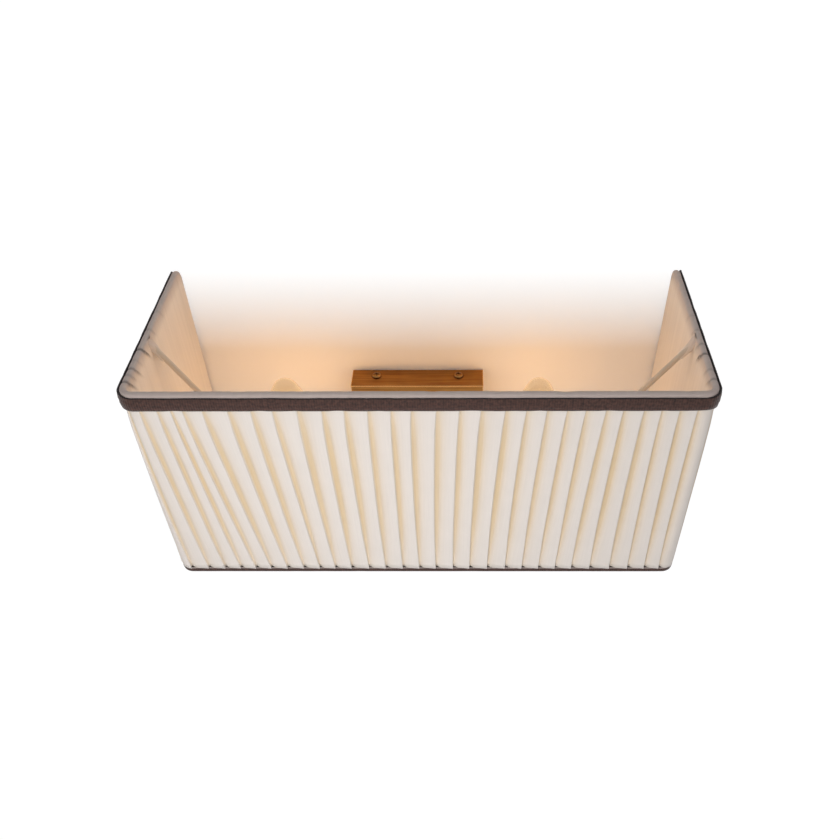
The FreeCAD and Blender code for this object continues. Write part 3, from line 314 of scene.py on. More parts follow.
def lining_cloth():
    """Thin lining cloth: matte, pulled tight up and down, with soft upright streaks; painted
    shade on the roll and in the creases.
    """
    material, tree = new_material("ivory_lining_cotton")
    c = colours()
    uv = add(tree, "ShaderNodeUVMap", uv_map="cloth")
    flat = add(tree, "ShaderNodeSeparateXYZ", {0: uv.outputs[0]})
    pulled = add(tree, "ShaderNodeMapping", {"Vector": uv.outputs[0],
                                             "Scale": (260.0, 9.0, 1.0)})
    streaks = add(tree, "ShaderNodeTexNoise", {"Vector": pulled.outputs[0], "Scale": 1.0,
                                               "Detail": 4.0})
    tone = formula(tree, "0.9 + 0.18 * streak", streak=streaks.outputs["Fac"])
    # Painted shade: the roll colour is mixed in over the roll, near the panel's rim and on the sleeves.
    rolled = add(tree, "ShaderNodeAttribute", attribute_name="painted_shading")
    crease = add(tree, "ShaderNodeAttribute", attribute_name="crease")
    base = add(tree, "ShaderNodeMix", {"Factor": rolled.outputs["Fac"], "A": (*c.lining, 1.0),
                                       "B": (*c.roll, 1.0)}, data_type="RGBA")
    # Painted shade: darker in the creases, by their depth.
    dark = formula(tree, "tone * (1 - 0.55 * min(crease, 1))", tone=tone,
                   crease=crease.outputs["Fac"])
    shaded = add(tree, "ShaderNodeVectorMath", {0: base.outputs["Result"], "Scale": dark},
                 operation="SCALE")
    threads = weave_height(tree, flat.outputs["X"], flat.outputs["Y"], THREAD_DRAWN)
    height = formula(tree, "threads + 2.5 * streak", threads=threads,
                     streak=streaks.outputs["Fac"])
    bump = add(tree, "ShaderNodeBump", {"Height": height, "Strength": 0.2,
                                        "Distance": 0.12 * MM})
    shader = add(tree, "ShaderNodeBsdfPrincipled", {
        "Base Color": shaded.outputs[0], "Roughness": 0.88, "Sheen Weight": 0.1,
        "Specular IOR Level": 0.2, "Normal": bump.outputs[0]})
    close_material(tree, shader.outputs[0])
    return material


def ribbed_ribbon():
    """Dark brown grosgrain: upright ribs, and painted shade along the top edge."""
    material, tree = new_material("brown_grosgrain_ribbon")
    c = colours()
    uv = add(tree, "ShaderNodeUVMap", uv_map="cloth")
    flat = add(tree, "ShaderNodeSeparateXYZ", {0: uv.outputs[0]})
    edge = add(tree, "ShaderNodeAttribute", attribute_name="painted_shading")
    grain = add(tree, "ShaderNodeTexNoise", {"Vector": uv.outputs[0], "Scale": 450.0,
                                             "Detail": 3.0})
    rib = formula(tree, "0.5 + 0.5 * sin(along * turn)", along=flat.outputs["X"],
                  turn=2 * math.pi / RIB_DRAWN)
    # Painted shade along the top edge, where the ribbon meets the roll.
    base = add(tree, "ShaderNodeMix", {"Factor": edge.outputs["Fac"],
                                       "A": (*c.ribbon, 1.0), "B": (*c.ribbon_top_shade, 1.0)},
               data_type="RGBA")
    tone = formula(tree, "0.28 * rib + 2.5 * grain - 0.4", rib=rib,
                   grain=grain.outputs["Fac"])
    shaded = add(tree, "ShaderNodeVectorMath", {0: base.outputs["Result"], "Scale": tone},
                 operation="SCALE")
    height = formula(tree, "rib + 0.5 * grain", rib=rib, grain=grain.outputs["Fac"])
    bump = add(tree, "ShaderNodeBump", {"Height": height, "Strength": 0.5,
                                        "Distance": 0.25 * MM})
    shader = add(tree, "ShaderNodeBsdfPrincipled", {
        "Base Color": shaded.outputs[0], "Roughness": 0.75, "Sheen Weight": 0.25,
        "Specular IOR Level": 0.3, "Normal": bump.outputs[0]})
    close_material(tree, shader.outputs[0])
    return material


# ---------------------------------------------------------------------------------------------
# Materials: metal, plastic, rubber and glass
# ---------------------------------------------------------------------------------------------
THREAD_PITCH = 2.82 * MM  # of an E14 thread
CHIP_PITCH = 1.3 * MM     # between the light-giving chips in a filament


def aged_brass(name, rubbed, brush):
    """Rolled brass, brushed lengthwise, toned brown and lacquered: long streaks, satin shine, painted
    shade with some patina in its corners, and a painted highlight along sharp edges."""
    material, tree = new_material(name)
    c = colours()
    place = add(tree, "ShaderNodeTexCoord")
    brushed = add(tree, "ShaderNodeMapping", {"Vector": place.outputs["Object"],
                                              "Scale": brush})
    marks = add(tree, "ShaderNodeTexNoise", {"Vector": brushed.outputs[0], "Scale": 1.0,
                                             "Detail": 3.0})
    patina = add(tree, "ShaderNodeTexNoise", {"Vector": place.outputs["Object"],
                                              "Scale": 70.0, "Detail": 4.0})
    share = formula(tree, "min(max(1.9 * mark + 0.5 * tone - 0.75, 0), 1)",
                    mark=marks.outputs["Fac"], tone=patina.outputs["Fac"])
    base = add(tree, "ShaderNodeMix", {"Factor": share, "A": (*c.brass_dark, 1.0),
                                       "B": (*c.brass, 1.0)}, data_type="RGBA")
    # Painted highlight along sharp edges: where the bevelled normal leaves the axes, the colour turns
    # to #F5C88A.
    rounded = add(tree, "ShaderNodeBevel", {"Radius": 1.6 * MM}, samples=8)
    way = add(tree, "ShaderNodeSeparateXYZ", {0: rounded.outputs[0]})
    flat = formula(tree, "max(max(abs(x), abs(y)), abs(z))", x=way.outputs["X"],
                   y=way.outputs["Y"], z=way.outputs["Z"])
    highlight_mask = formula(tree, "min(max((0.985 - flat) * 8, 0), 1) * rubbed", flat=flat, rubbed=rubbed)
    # Painted shade with some patina: colour darkened where Ambient Occlusion finds corners and
    # recesses.
    corners = add(tree, "ShaderNodeAmbientOcclusion", {"Distance": 1.6 * MM}, samples=6)
    corner_shade_and_patina = formula(tree, "0.12 + 0.88 * open ** 2", open=corners.outputs["AO"])
    base_with_corner_shade = add(tree, "ShaderNodeVectorMath", {0: base.outputs["Result"], "Scale": corner_shade_and_patina},
                operation="SCALE")
    highlighted = add(tree, "ShaderNodeMix", {"Factor": highlight_mask, "A": base_with_corner_shade.outputs[0],
                                         "B": (*linear("#F5C88A"), 1.0)}, data_type="RGBA")
    rough = formula(tree, "0.26 + 0.24 * mark", mark=marks.outputs["Fac"])
    bump = add(tree, "ShaderNodeBump", {"Height": marks.outputs["Fac"], "Strength": 0.12,
                                        "Distance": 0.05 * MM})
    shader = add(tree, "ShaderNodeBsdfPrincipled", {
        "Base Color": highlighted.outputs["Result"], "Metallic": 1.0, "Roughness": rough,
        "Anisotropic": 0.4, "Coat Weight": 0.15, "Coat Roughness": 0.2,
        "Normal": bump.outputs[0]})
    close_material(tree, shader.outputs[0])
    return material


def plain_metal(name, code, dark_code, roughness, grain_mm):
    """A satin metal whose tone and shine vary with a fine grain of a real size."""
    material, tree = new_material(name)
    place = add(tree, "ShaderNodeTexCoord")
    grain = add(tree, "ShaderNodeTexNoise", {"Vector": place.outputs["Object"],
                                             "Scale": 1.0 / (grain_mm * MM), "Detail": 3.0})
    base = add(tree, "ShaderNodeMix", {"Factor": grain.outputs["Fac"],
                                       "A": (*linear(dark_code), 1.0),
                                       "B": (*linear(code), 1.0)}, data_type="RGBA")
    rough = formula(tree, "low + 0.2 * grain", low=roughness - 0.1, grain=grain.outputs["Fac"])
    bump = add(tree, "ShaderNodeBump", {"Height": grain.outputs["Fac"], "Strength": 0.1,
                                        "Distance": 0.03 * MM})
    shader = add(tree, "ShaderNodeBsdfPrincipled", {
        "Base Color": base.outputs["Result"], "Metallic": 1.0, "Roughness": rough,
        "Normal": bump.outputs[0]})
    close_material(tree, shader.outputs[0])
    return material


def threaded_metal(name, code, dark_code):
    """Rolled sheet-metal thread: round turns a pitch apart round an upright axis."""
    material, tree = new_material(name)
    place = add(tree, "ShaderNodeTexCoord")
    flat = add(tree, "ShaderNodeSeparateXYZ", {0: place.outputs["Object"]})
    turns = formula(tree, "0.5 + 0.5 * sin(height * turn)", height=flat.outputs["Z"],
                    turn=2 * math.pi / THREAD_PITCH)
    base = add(tree, "ShaderNodeMix", {"Factor": turns, "A": (*linear(dark_code), 1.0),
                                       "B": (*linear(code), 1.0)}, data_type="RGBA")
    bump = add(tree, "ShaderNodeBump", {"Height": turns, "Strength": 0.9,
                                        "Distance": 0.6 * MM})
    shader = add(tree, "ShaderNodeBsdfPrincipled", {
        "Base Color": base.outputs["Result"], "Metallic": 1.0, "Roughness": 0.3,
        "Normal": bump.outputs[0]})
    close_material(tree, shader.outputs[0])
    return material


def moulded(name, code, roughness, grain_mm, strength):
    """A moulded plastic, rubber or powder coat: even colour with a fine surface grain."""
    material, tree = new_material(name)
    place = add(tree, "ShaderNodeTexCoord")
    grain = add(tree, "ShaderNodeTexNoise", {"Vector": place.outputs["Object"],
                                             "Scale": 1.0 / (grain_mm * MM), "Detail": 2.0})
    tone = formula(tree, "0.95 + 0.1 * grain", grain=grain.outputs["Fac"])
    shaded = add(tree, "ShaderNodeVectorMath", {0: linear(code), "Scale": tone},
                 operation="SCALE")
    rough = formula(tree, "low + 0.12 * grain", low=roughness - 0.06,
                    grain=grain.outputs["Fac"])
    bump = add(tree, "ShaderNodeBump", {"Height": grain.outputs["Fac"], "Strength": strength,
                                        "Distance": 0.08 * MM})
    shader = add(tree, "ShaderNodeBsdfPrincipled", {
        "Base Color": shaded.outputs[0], "Roughness": rough, "Normal": bump.outputs[0]})
    close_material(tree, shader.outputs[0])
    return material


def clear_glass(name, tint, haze):
    """Clear blown glass with a wall too thin to bend light: the lamp's own light fills it, with a
    painted highlight brightening it towards its rim; a little of the room shines on it there."""
    material, tree = new_material(name)
    place = add(tree, "ShaderNodeTexCoord")
    ripple = add(tree, "ShaderNodeTexNoise", {"Vector": place.outputs["Object"],
                                              "Scale": 60.0, "Detail": 1.0})
    bump = add(tree, "ShaderNodeBump", {"Height": ripple.outputs["Fac"], "Strength": 0.05,
                                        "Distance": 0.2 * MM})
    facing = add(tree, "ShaderNodeLayerWeight", {"Blend": 0.5, "Normal": bump.outputs[0]})
    # Painted highlight: the glow is stronger towards the rim.
    glow_and_rim_highlight = formula(tree, "0.92 + 0.75 * rim ** 3", rim=facing.outputs["Facing"])
    filled = add(tree, "ShaderNodeEmission", {"Color": (*linear("#E6BD93"), 1.0),
                                              "Strength": glow_and_rim_highlight})
    through = add(tree, "ShaderNodeBsdfTransparent", {"Color": (*linear(tint), 1.0)})
    lit = add(tree, "ShaderNodeMixShader", {0: haze, 1: through.outputs[0],
                                            2: filled.outputs[0]})
    shine = add(tree, "ShaderNodeBsdfGlossy", {"Roughness": 0.04, "Normal": bump.outputs[0]})
    side = add(tree, "ShaderNodeNewGeometry")
    edge = formula(tree, "0.03 + 0.25 * rim ** 4 * (1 - inner)", rim=facing.outputs["Facing"],
                   inner=side.outputs["Backfacing"])
    shader = add(tree, "ShaderNodeMixShader", {0: edge, 1: lit.outputs[0],
                                               2: shine.outputs[0]})
    close_material(tree, shader.outputs[0])
    return material


def filament_coating():
    """Silicone with yellow phosphor round the light-giving sticks, dimly lit."""
    material, tree = new_material("phosphor_silicone")
    place = add(tree, "ShaderNodeTexCoord")
    flat = add(tree, "ShaderNodeSeparateXYZ", {0: place.outputs["Object"]})
    chips = formula(tree, "0.5 + 0.5 * sin(height * turn)", height=flat.outputs["Z"],
                    turn=2 * math.pi / CHIP_PITCH)
    base = add(tree, "ShaderNodeMix", {"Factor": chips, "A": (*linear("#DDAE66"), 1.0),
                                       "B": (*linear("#F2D9A8"), 1.0)}, data_type="RGBA")
    shader = add(tree, "ShaderNodeBsdfPrincipled", {
        "Base Color": base.outputs["Result"], "Roughness": 0.4,
        "Emission Color": base.outputs["Result"], "Emission Strength": 0.5})
    close_material(tree, shader.outputs[0])
    return material


# ---------------------------------------------------------------------------------------------
# The cloth's outline, as nodes
# ---------------------------------------------------------------------------------------------
def outline_values(s):
    return {"Front": s.width / 2 - s.corner, "Corner": s.corner, "Depth": s.depth,
            "Shift": s.shift, "Rise": s.rise}


def wrapped(tree, inputs, along, inward, level):
    """The place on the shade a distance along its outline, a depth inside it, at a level."""
    names = {"along": along, "inward": inward, "level": level, "front": inputs["Front"],
             "corner": inputs["Corner"], "deep": inputs["Depth"], "shift": inputs["Shift"],
             "rise": inputs["Rise"]}
    names["run"] = formula(tree, "abs(along)", **names)
    names["turned"] = formula(tree, "min(max((run - front) / corner, 0), pi / 2)", **names)
    names["beyond"] = formula(tree, "max(run - front - corner * pi / 2, 0)", **names)
    x = formula(tree, "shift + sign(along) * (min(run, front) + (corner - inward) * sin(turned))",
                **names)
    y = formula(tree, "corner - deep - (corner - inward) * cos(turned) + beyond", **names)
    z = formula(tree, "rise + level", **names)
    return add(tree, "ShaderNodeCombineXYZ", {0: x, 1: y, 2: z}).outputs[0]


def cloth_grid(tree, columns, rows):
    """A sheet of quads whose X and Y run from 0 to 1, with those as numbers."""
    grid = add(tree, "GeometryNodeMeshGrid", {"Size X": 1.0, "Size Y": 1.0,
                                              "Vertices X": columns, "Vertices Y": rows})
    spot = add(tree, "GeometryNodeInputPosition")
    flat = add(tree, "ShaderNodeSeparateXYZ", {0: spot.outputs[0]})
    u = formula(tree, "x + 0.5", x=flat.outputs["X"])
    v = formula(tree, "y + 0.5", y=flat.outputs["Y"])
    return grid.outputs[0], u, v


def laid(tree, mesh, place, u_length, v_length, painted_shading):
    """The sheet put in its place, with its own cloth coordinates and painted shading share stored."""
    uv = add(tree, "ShaderNodeCombineXYZ", {0: u_length, 1: v_length})
    mapped = add(tree, "GeometryNodeStoreNamedAttribute",
                 {"Geometry": mesh, "Name": "cloth", "Value": uv.outputs[0]},
                 data_type="FLOAT2", domain="CORNER")
    shared = add(tree, "GeometryNodeStoreNamedAttribute",
                 {"Geometry": mapped.outputs[0], "Name": "painted_shading", "Value": painted_shading},
                 data_type="FLOAT", domain="POINT")
    moved = add(tree, "GeometryNodeSetPosition", {"Geometry": shared.outputs[0],
                                                  "Position": place})
    return moved.outputs[0]


def rounded_limit(tree, along, end, radius, half):
    """The half height left at a distance along the outline, cut by the round back corners."""
    over = formula(tree, "min(max(abs(along) - end + radius, 0), radius)", along=along, end=end,
                   radius=radius)
    return formula(tree, "half - radius + sqrt(max(radius ** 2 - over ** 2, 0))", half=half,
                   radius=radius, over=over)


# ---------------------------------------------------------------------------------------------
# Pleated cover
# ---------------------------------------------------------------------------------------------
# One knife pleat, from the floor of its valley over its face to the folded edge that overhangs the
# next valley: the share of the face passed, of the valley passed, how much of the painted valley
# colour lies on the cloth (painted lamp light through one layer, and painted shade in the valley
# and under the folded edge), and the share of the height reached.
FACE_PASSED = [(0.0, 0.0), (0.10, 0.0), (0.20, 0.10), (0.32, 0.30), (0.70, 0.90),
               (0.80, 0.99), (0.85, 1.0), (0.90, 1.0), (1.0, 1.0)]
VALLEY_PASSED = [(0.0, 0.0), (0.10, 0.45), (0.86, 0.45), (0.90, 0.52), (0.95, 0.78),
                 (1.0, 1.0)]
PAINTED_VALLEY_SHADING = [(0.0, 0.9), (0.10, 0.72), (0.20, 0.46), (0.32, 0.2), (0.5, 0.04), (0.8, 0.0),
        (0.87, 0.08), (0.92, 0.8), (0.95, 1.0), (1.0, 0.95)]
HEIGHT_REACHED = [(0.0, 0.0), (0.10, 0.06), (0.20, 0.46), (0.30, 0.80), (0.45, 0.97),
                  (0.60, 1.0), (0.80, 0.98), (0.85, 0.86), (0.90, 0.45), (0.95, 0.12),
                  (1.0, 0.0)]
# From the hem to the head: how far the valleys open, and the depth of the faces in millimetres.
OPENING = [(0.0, 0.02), (0.12, 0.42), (0.35, 0.88), (0.6, 1.0), (0.8, 0.85), (0.93, 0.38),
           (1.0, 0.08)]
FACE_DEPTH = [(0.0, 0.55), (0.12, 0.42), (0.5, 0.3), (0.8, 0.5), (0.92, 1.25), (1.0, 1.35)]
# Along the front from left to right: lean of the pleats' heads and stray of their feet, each
# from 0 for most to the left over 0.5 for none to 1 for most to the right.
LEAN = [(0.0, 0.306), (0.04, 0.25), (0.07, 0.216), (0.104, 0.136), (0.14, 0.062),
        (0.171, 0.078), (0.206, 0.154), (0.241, 0.206), (0.275, 0.242), (0.308, 0.322),
        (0.341, 0.404), (0.38, 0.434), (0.417, 0.466), (0.45, 0.5), (0.5, 0.53),
        (0.52, 0.584), (0.557, 0.644), (0.594, 0.658), (0.63, 0.71), (0.70, 0.704),
        (0.77, 0.696), (0.81, 0.69), (0.847, 0.636), (0.885, 0.584), (0.93, 0.516),
        (1.0, 0.49)]
STRAY = [(0.0, 0.74), (0.04, 0.76), (0.12, 0.60), (0.17, 0.44), (0.25, 0.38), (0.34, 0.18),
         (0.45, 0.26), (0.55, 0.21), (0.63, 0.28), (0.70, 0.38), (0.80, 0.32), (0.86, 0.48),
         (0.93, 0.76), (1.0, 0.55)]
PLEAT_STEPS = 20
PLEAT_ROWS = 37
LEAST_OPEN = 0.7          # a valley opens by its own share of the curve, from this
MOST_OPEN = 1.15          # to this
VALLEY_DRAW = 500.0       # number of the first valley's random draw
LEAN_FADE = 40 * MM       # lean and stray die out over this length before the back edges
SWELL = 0.6 * MM          # unevenness of the faces' depth
HEM_DRAWN = 0.35          # how far the hem is drawn up for each length that it lies deeper
HEM_SAG = 2.4 * MM        # how fast the hem drops along a pleat
SAG_END = 0.8             # the share of the pleat where that ends
COVER_THICKNESS = 0.3 * MM


def pleat_tree():
    """Knife pleats on the shade's outline, pressed shut at hem and head, open in between."""
    tree, given = new_tree("knife_pleats", {
        "Front": 0.1, "Corner": 0.01, "Depth": 0.1, "Shift": 0.0, "Rise": 0.0, "End": 0.3,
        "Half Height": 0.09, "Hem Drop": 0.0, "Back Corner": 0.01, "Pitch": 0.01,
        "Phase": 0.0, "First": -10, "Pleats": 20, "Floor": 0.002, "Open Valley": 0.004,
        "Shut Valley": 0.001, "Lean": 0.02, "Stray": 0.003, "Uneven": 0.005,
        "Seed": 1})
    columns = formula(tree, "pleats * steps + 1", pleats=given["Pleats"], steps=PLEAT_STEPS)
    mesh, u, v = cloth_grid(tree, columns, PLEAT_ROWS)
    cell = formula(tree, "u * pleats + first", u=u, pleats=given["Pleats"],
                   first=given["First"])
    number = formula(tree, "floor(cell + 0.001)", cell=cell)
    step = formula(tree, "max(cell - number, 0)", cell=cell, number=number)

    draw = formula(tree, "number + extra", number=number, extra=VALLEY_DRAW)
    chance = add(tree, "FunctionNodeRandomValue", {2: LEAST_OPEN, 3: MOST_OPEN, "ID": draw,
                                                   "Seed": given["Seed"]}, data_type="FLOAT")
    opening = formula(tree, "curve * share", curve=curve_of(tree, v, OPENING),
                      share=chance.outputs[1])
    valley = formula(tree, "shut + (wide - shut) * opening", shut=given["Shut Valley"],
                     wide=given["Open Valley"], opening=opening)
    face = formula(tree, "pitch - valley", pitch=given["Pitch"], valley=valley)
    within = formula(tree, "face * passed + valley * crossed", face=face, valley=valley,
                     passed=curve_of(tree, step, FACE_PASSED),
                     crossed=curve_of(tree, step, VALLEY_PASSED))
    foot = formula(tree, "phase + number * pitch + within", phase=given["Phase"],
                   number=number, pitch=given["Pitch"], within=within)
    across = formula(tree, "min(max(foot / front * 0.5 + 0.5, 0), 1)", foot=foot,
                     front=given["Front"])
    ease = formula(tree, "min(max(end - abs(foot), 0) / fade, 1)", end=given["End"],
                   foot=foot, fade=LEAN_FADE)
    lean = formula(tree, "(curve - 0.5) * 2 * most * ease", most=given["Lean"], ease=ease,
                   curve=curve_of(tree, across, LEAN))
    stray = formula(tree, "(curve - 0.5) * 2 * most * ease", most=given["Stray"], ease=ease,
                    curve=curve_of(tree, across, STRAY))
    drift = add(tree, "ShaderNodeCombineXYZ", {0: cell, 1: v})
    uneven = add(tree, "ShaderNodeTexNoise", {"Vector": drift.outputs[0], "Scale": 0.75,
                                              "Detail": 1.0})
    along = formula(tree, "min(max(foot + stray + lean * v + (uneven - 0.5) * span * ease,"
                    " -end), end)", foot=foot, stray=stray, lean=lean, v=v, ease=ease,
                    end=given["End"], uneven=uneven.outputs["Fac"], span=given["Uneven"])
    reached = curve_of(tree, step, HEIGHT_REACHED)
    soft = add(tree, "ShaderNodeCombineXYZ", {0: number, 1: v})
    swell = add(tree, "ShaderNodeTexNoise", {"Vector": soft.outputs[0], "Scale": 2.2,
                                             "Detail": 1.0})
    top = formula(tree, "depth * mm + (swell - 0.5) * most", mm=MM, most=SWELL,
                  depth=curve_of(tree, v, FACE_DEPTH), swell=swell.outputs["Fac"])
    inward = formula(tree, "floor_depth - (floor_depth - top) * reached",
                     floor_depth=given["Floor"], top=top, reached=reached)
    half = rounded_limit(tree, along, given["End"], given["Back Corner"], given["Half Height"])
    hang = formula(tree, "drop - drawn * (inward - top) - sag * max(late - step, 0)",
                   drawn=HEM_DRAWN, sag=HEM_SAG, late=SAG_END,
                   drop=given["Hem Drop"], inward=inward, top=top, step=step)
    level = formula(tree, "-half - hang + (2 * half + hang) * v", half=half, v=v, hang=hang)
    # The painted valley light and shade, stronger where the valley opens wider.
    painted_shading = formula(tree, "min(tint * (0.55 + 0.45 * opening), 1)", opening=opening,
                   tint=curve_of(tree, step, PAINTED_VALLEY_SHADING))
    place = wrapped(tree, given, along, inward, level)
    geometry = laid(tree, mesh, place, foot, level, painted_shading)
    close_tree(tree, geometry, given["Material"])
    return tree


class WALLLIGHT_OT_cover(bpy.types.Operator):
    """Make the pleated cotton cover"""
    bl_idname = "wall_light.cover"
    bl_label = "Pleated cover"

    def execute(self, context):
        s = sizes()
        end = spans(s)[2]
        count = 2 * math.ceil(end / s.pitch)
        values = outline_values(s)
        values.update({
            "End": end, "Half Height": s.height / 2 - s.roll,
            "Hem Drop": s.roll - s.hem,
            "Back Corner": s.back_corner - s.roll, "Pitch": s.pitch, "Phase": s.phase,
            "First": -count // 2, "Pleats": count, "Floor": s.floor,
            "Open Valley": s.valley, "Shut Valley": s.shut_valley,
            "Lean": s.lean, "Stray": s.stray, "Uneven": s.uneven,
            "Seed": s.seed,
            "Material": pleated_cotton()})
        piece = grown("pleated_cotton_cover", pleat_tree(), values)
        thicken(piece, COVER_THICKNESS)
        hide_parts("pleated_cover")
        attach(piece, "light")
        return {"FINISHED"}


# ---------------------------------------------------------------------------------------------
# Ribbons
# ---------------------------------------------------------------------------------------------
RIBBON_ROWS = 13
RIBBON_SHADE_START = 0.92        # the share of the width where the painted shade along the top edge starts


def ribbon_tree():
    """A flat ribbon round the outline, crowned a little and with a faint wave in its edges."""
    tree, given = new_tree("ribbon_band", {
        "Front": 0.1, "Corner": 0.01, "Depth": 0.1, "Shift": 0.0, "Rise": 0.0, "End": 0.3,
        "Reach": 0.3, "Half Height": 0.09, "Back Corner": 0.01, "Low": 0.08, "High": 0.09,
        "Outside": 0.0, "Crown": 0.0003, "Wave": 0.0003, "Side Rise": 0.0, "Columns": 600})
    mesh, u, v = cloth_grid(tree, given["Columns"], RIBBON_ROWS)
    along = formula(tree, "(2 * u - 1) * reach", u=u, reach=given["Reach"])
    limit = rounded_limit(tree, along, given["End"], given["Back Corner"],
                          given["Half Height"])
    sides = formula(tree, "min(max(abs(along) - front, 0) / corner, 1) * rise", along=along,
                    front=given["Front"], corner=given["Corner"], rise=given["Side Rise"])
    spot = add(tree, "ShaderNodeCombineXYZ", {0: along, 1: v})
    ripple = add(tree, "ShaderNodeTexNoise", {"Vector": spot.outputs[0], "Scale": 45.0,
                                              "Detail": 1.0})
    wave = formula(tree, "(ripple - 0.5) * size * (1 + min(sides / 0.001, 1))",
                   ripple=ripple.outputs["Fac"], size=given["Wave"], sides=sides)
    low = formula(tree, "max(low, -limit) + wave", low=given["Low"], limit=limit, wave=wave)
    high = formula(tree, "min(high + sides, limit) + wave * 0.4", high=given["High"],
                   sides=sides, limit=limit, wave=wave)
    level = formula(tree, "low + (high - low) * v", low=low, high=high, v=v)
    inward = formula(tree, "outside - sides * 0.6 + crown * (2 * v - 1) ** 2"
                     " + abs(wave) * 0.6", outside=given["Outside"], sides=sides,
                     crown=given["Crown"], v=v, wave=wave)
    # Share of the painted shade along the top edge.
    edge = formula(tree, "max(v - start, 0) * 12", v=v, start=RIBBON_SHADE_START)
    place = wrapped(tree, given, along, inward, level)
    close_tree(tree, laid(tree, mesh, place, along, level, edge), given["Material"])
    return tree


def ribbon(name, node, tree, values, thickness):
    """One ribbon with its thickness, in place of its solid."""
    piece = grown(name, tree, values)
    thicken(piece, thickness)
    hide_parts(node)
    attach(piece, "light")
    return piece


class WALLLIGHT_OT_ribbons(bpy.types.Operator):
    """Make the two ribbed ribbons along the shade's upper and lower edges"""
    bl_idname = "wall_light.ribbons"
    bl_label = "Ribbons"

    def execute(self, context):
        s = sizes()
        end = spans(s)[2] + s.roll
        tree = ribbon_tree()
        values = outline_values(s)
        values.update({"End": end, "Back Corner": s.back_corner, "Material": ribbed_ribbon()})
        top = dict(values, Reach=end - 0.4 * MM, Low=s.top_low, High=s.top_high,
                   Outside=-0.4 * MM, Crown=0.6 * MM, Wave=1.6 * MM, Columns=900)
        top["Side Rise"] = 1.3 * MM
        top["Half Height"] = s.height / 2 - 0.3 * MM
        band = ribbon("top_ribbon", "top_trim", tree, top, 0.9 * MM)
        bottom = dict(values, Reach=end - 4.0 * MM, Low=-s.bottom_low, High=-s.bottom_high,
                      Outside=1.0 * MM, Crown=0.3 * MM, Wave=0.3 * MM, Columns=700)
        bottom["Half Height"] = s.height / 2
        ribbon("bottom_ribbon", "bottom_trim", tree, bottom, 0.8 * MM)
        return {"FINISHED"}


# ---------------------------------------------------------------------------------------------
# Lining
# ---------------------------------------------------------------------------------------------
def outline_point(s, along, inward, level):
    """The place on the shade a distance along its outline, a depth inside it, at a level."""
    front, arc, _ = spans(s)
    run = abs(along)
    hand = math.copysign(1.0, along)
    turned = min(max((run - front) / s.corner, 0.0), math.pi / 2)
    beyond = max(run - front - arc, 0.0)
    x = s.shift + hand * (min(run, front) + (s.corner - inward) * math.sin(turned))
    y = s.corner - s.depth - (s.corner - inward) * math.cos(turned) + beyond
    return Vector((x, y, s.rise + level))


GATHERS_REACH = 26 * MM   # the fine gathers fade out this far from the rim


def gathers(s, along, level):
    """How far the lining stands in at a place: soft upright waves that fade below the rim."""
    half = s.height / 2
    rim = max(0.0, 1.0 - (half - abs(level)) / GATHERS_REACH)
    fine = noise.noise(Vector((along * 150.0, level * 18.0, 3.0)))
    broad = noise.noise(Vector((along * 45.0, level * 8.0, 9.0)))
    return (0.45 * fine * rim ** 1.5 + 0.25 * broad) * MM


# For each side: how far behind the front corner a crease starts, how far down it reaches and
# how deep it is, all in millimetres.
PUCKERS = {-1: ((2, 8, 1.5), (9, 5, 0.6), (16, 8, 1.2), (25, 5, 0.4), (37, 8, 1.9),
                (60, 4, 0.5), (82, 4, 0.3)),
           1: ((4, 6, 1.0), (14, 5, 0.6), (31, 8, 1.8), (42, 6, 0.8), (58, 4, 0.5),
               (76, 4, 0.4))}
CREASE_WIDTH = 1.0        # millimetres
CREASE_SLANT = 0.7        # how far a crease runs back for each length down
CREASE_FULL_SHADE = 1.2 * MM    # a crease of this depth has its full painted shade
ROLL_SHADE_FADE = 9 * MM        # the roll's painted shade fades out this far inside the panel
ROLL_SHADE_SHARE = 0.65         # how much of that painted shade there is where panel and roll meet
SLEEVE_LENGTH = 21 * MM   # cloth round a carrier, from the wire down
SLEEVE_MOUTH = 2.6 * MM   # its radius at the lower end
SLEEVE_HEAD = 4.6 * MM    # and at the wire
SLEEVE_LIP = 0.45 * MM    # how far its lower end is turned in
SLEEVE_STEPS = 13
SLEEVE_SIDES = 32


def puckers(s, along, level):
    """Creases in the lining that run down from the rim where the carriers come through."""
    total = 0.0
    down = (s.height / 2 - level) / MM
    for side, creases in PUCKERS.items():
        for behind, reach, strength in creases:
            head = side * (spans(s)[0] + spans(s)[1] + behind * MM)
            across = (along - head) * side / MM - CREASE_SLANT * down
            fade = math.exp(-((down - 4) / reach) ** 2)
            total += strength * math.exp(-(across / CREASE_WIDTH) ** 2) * fade
    return total * MM


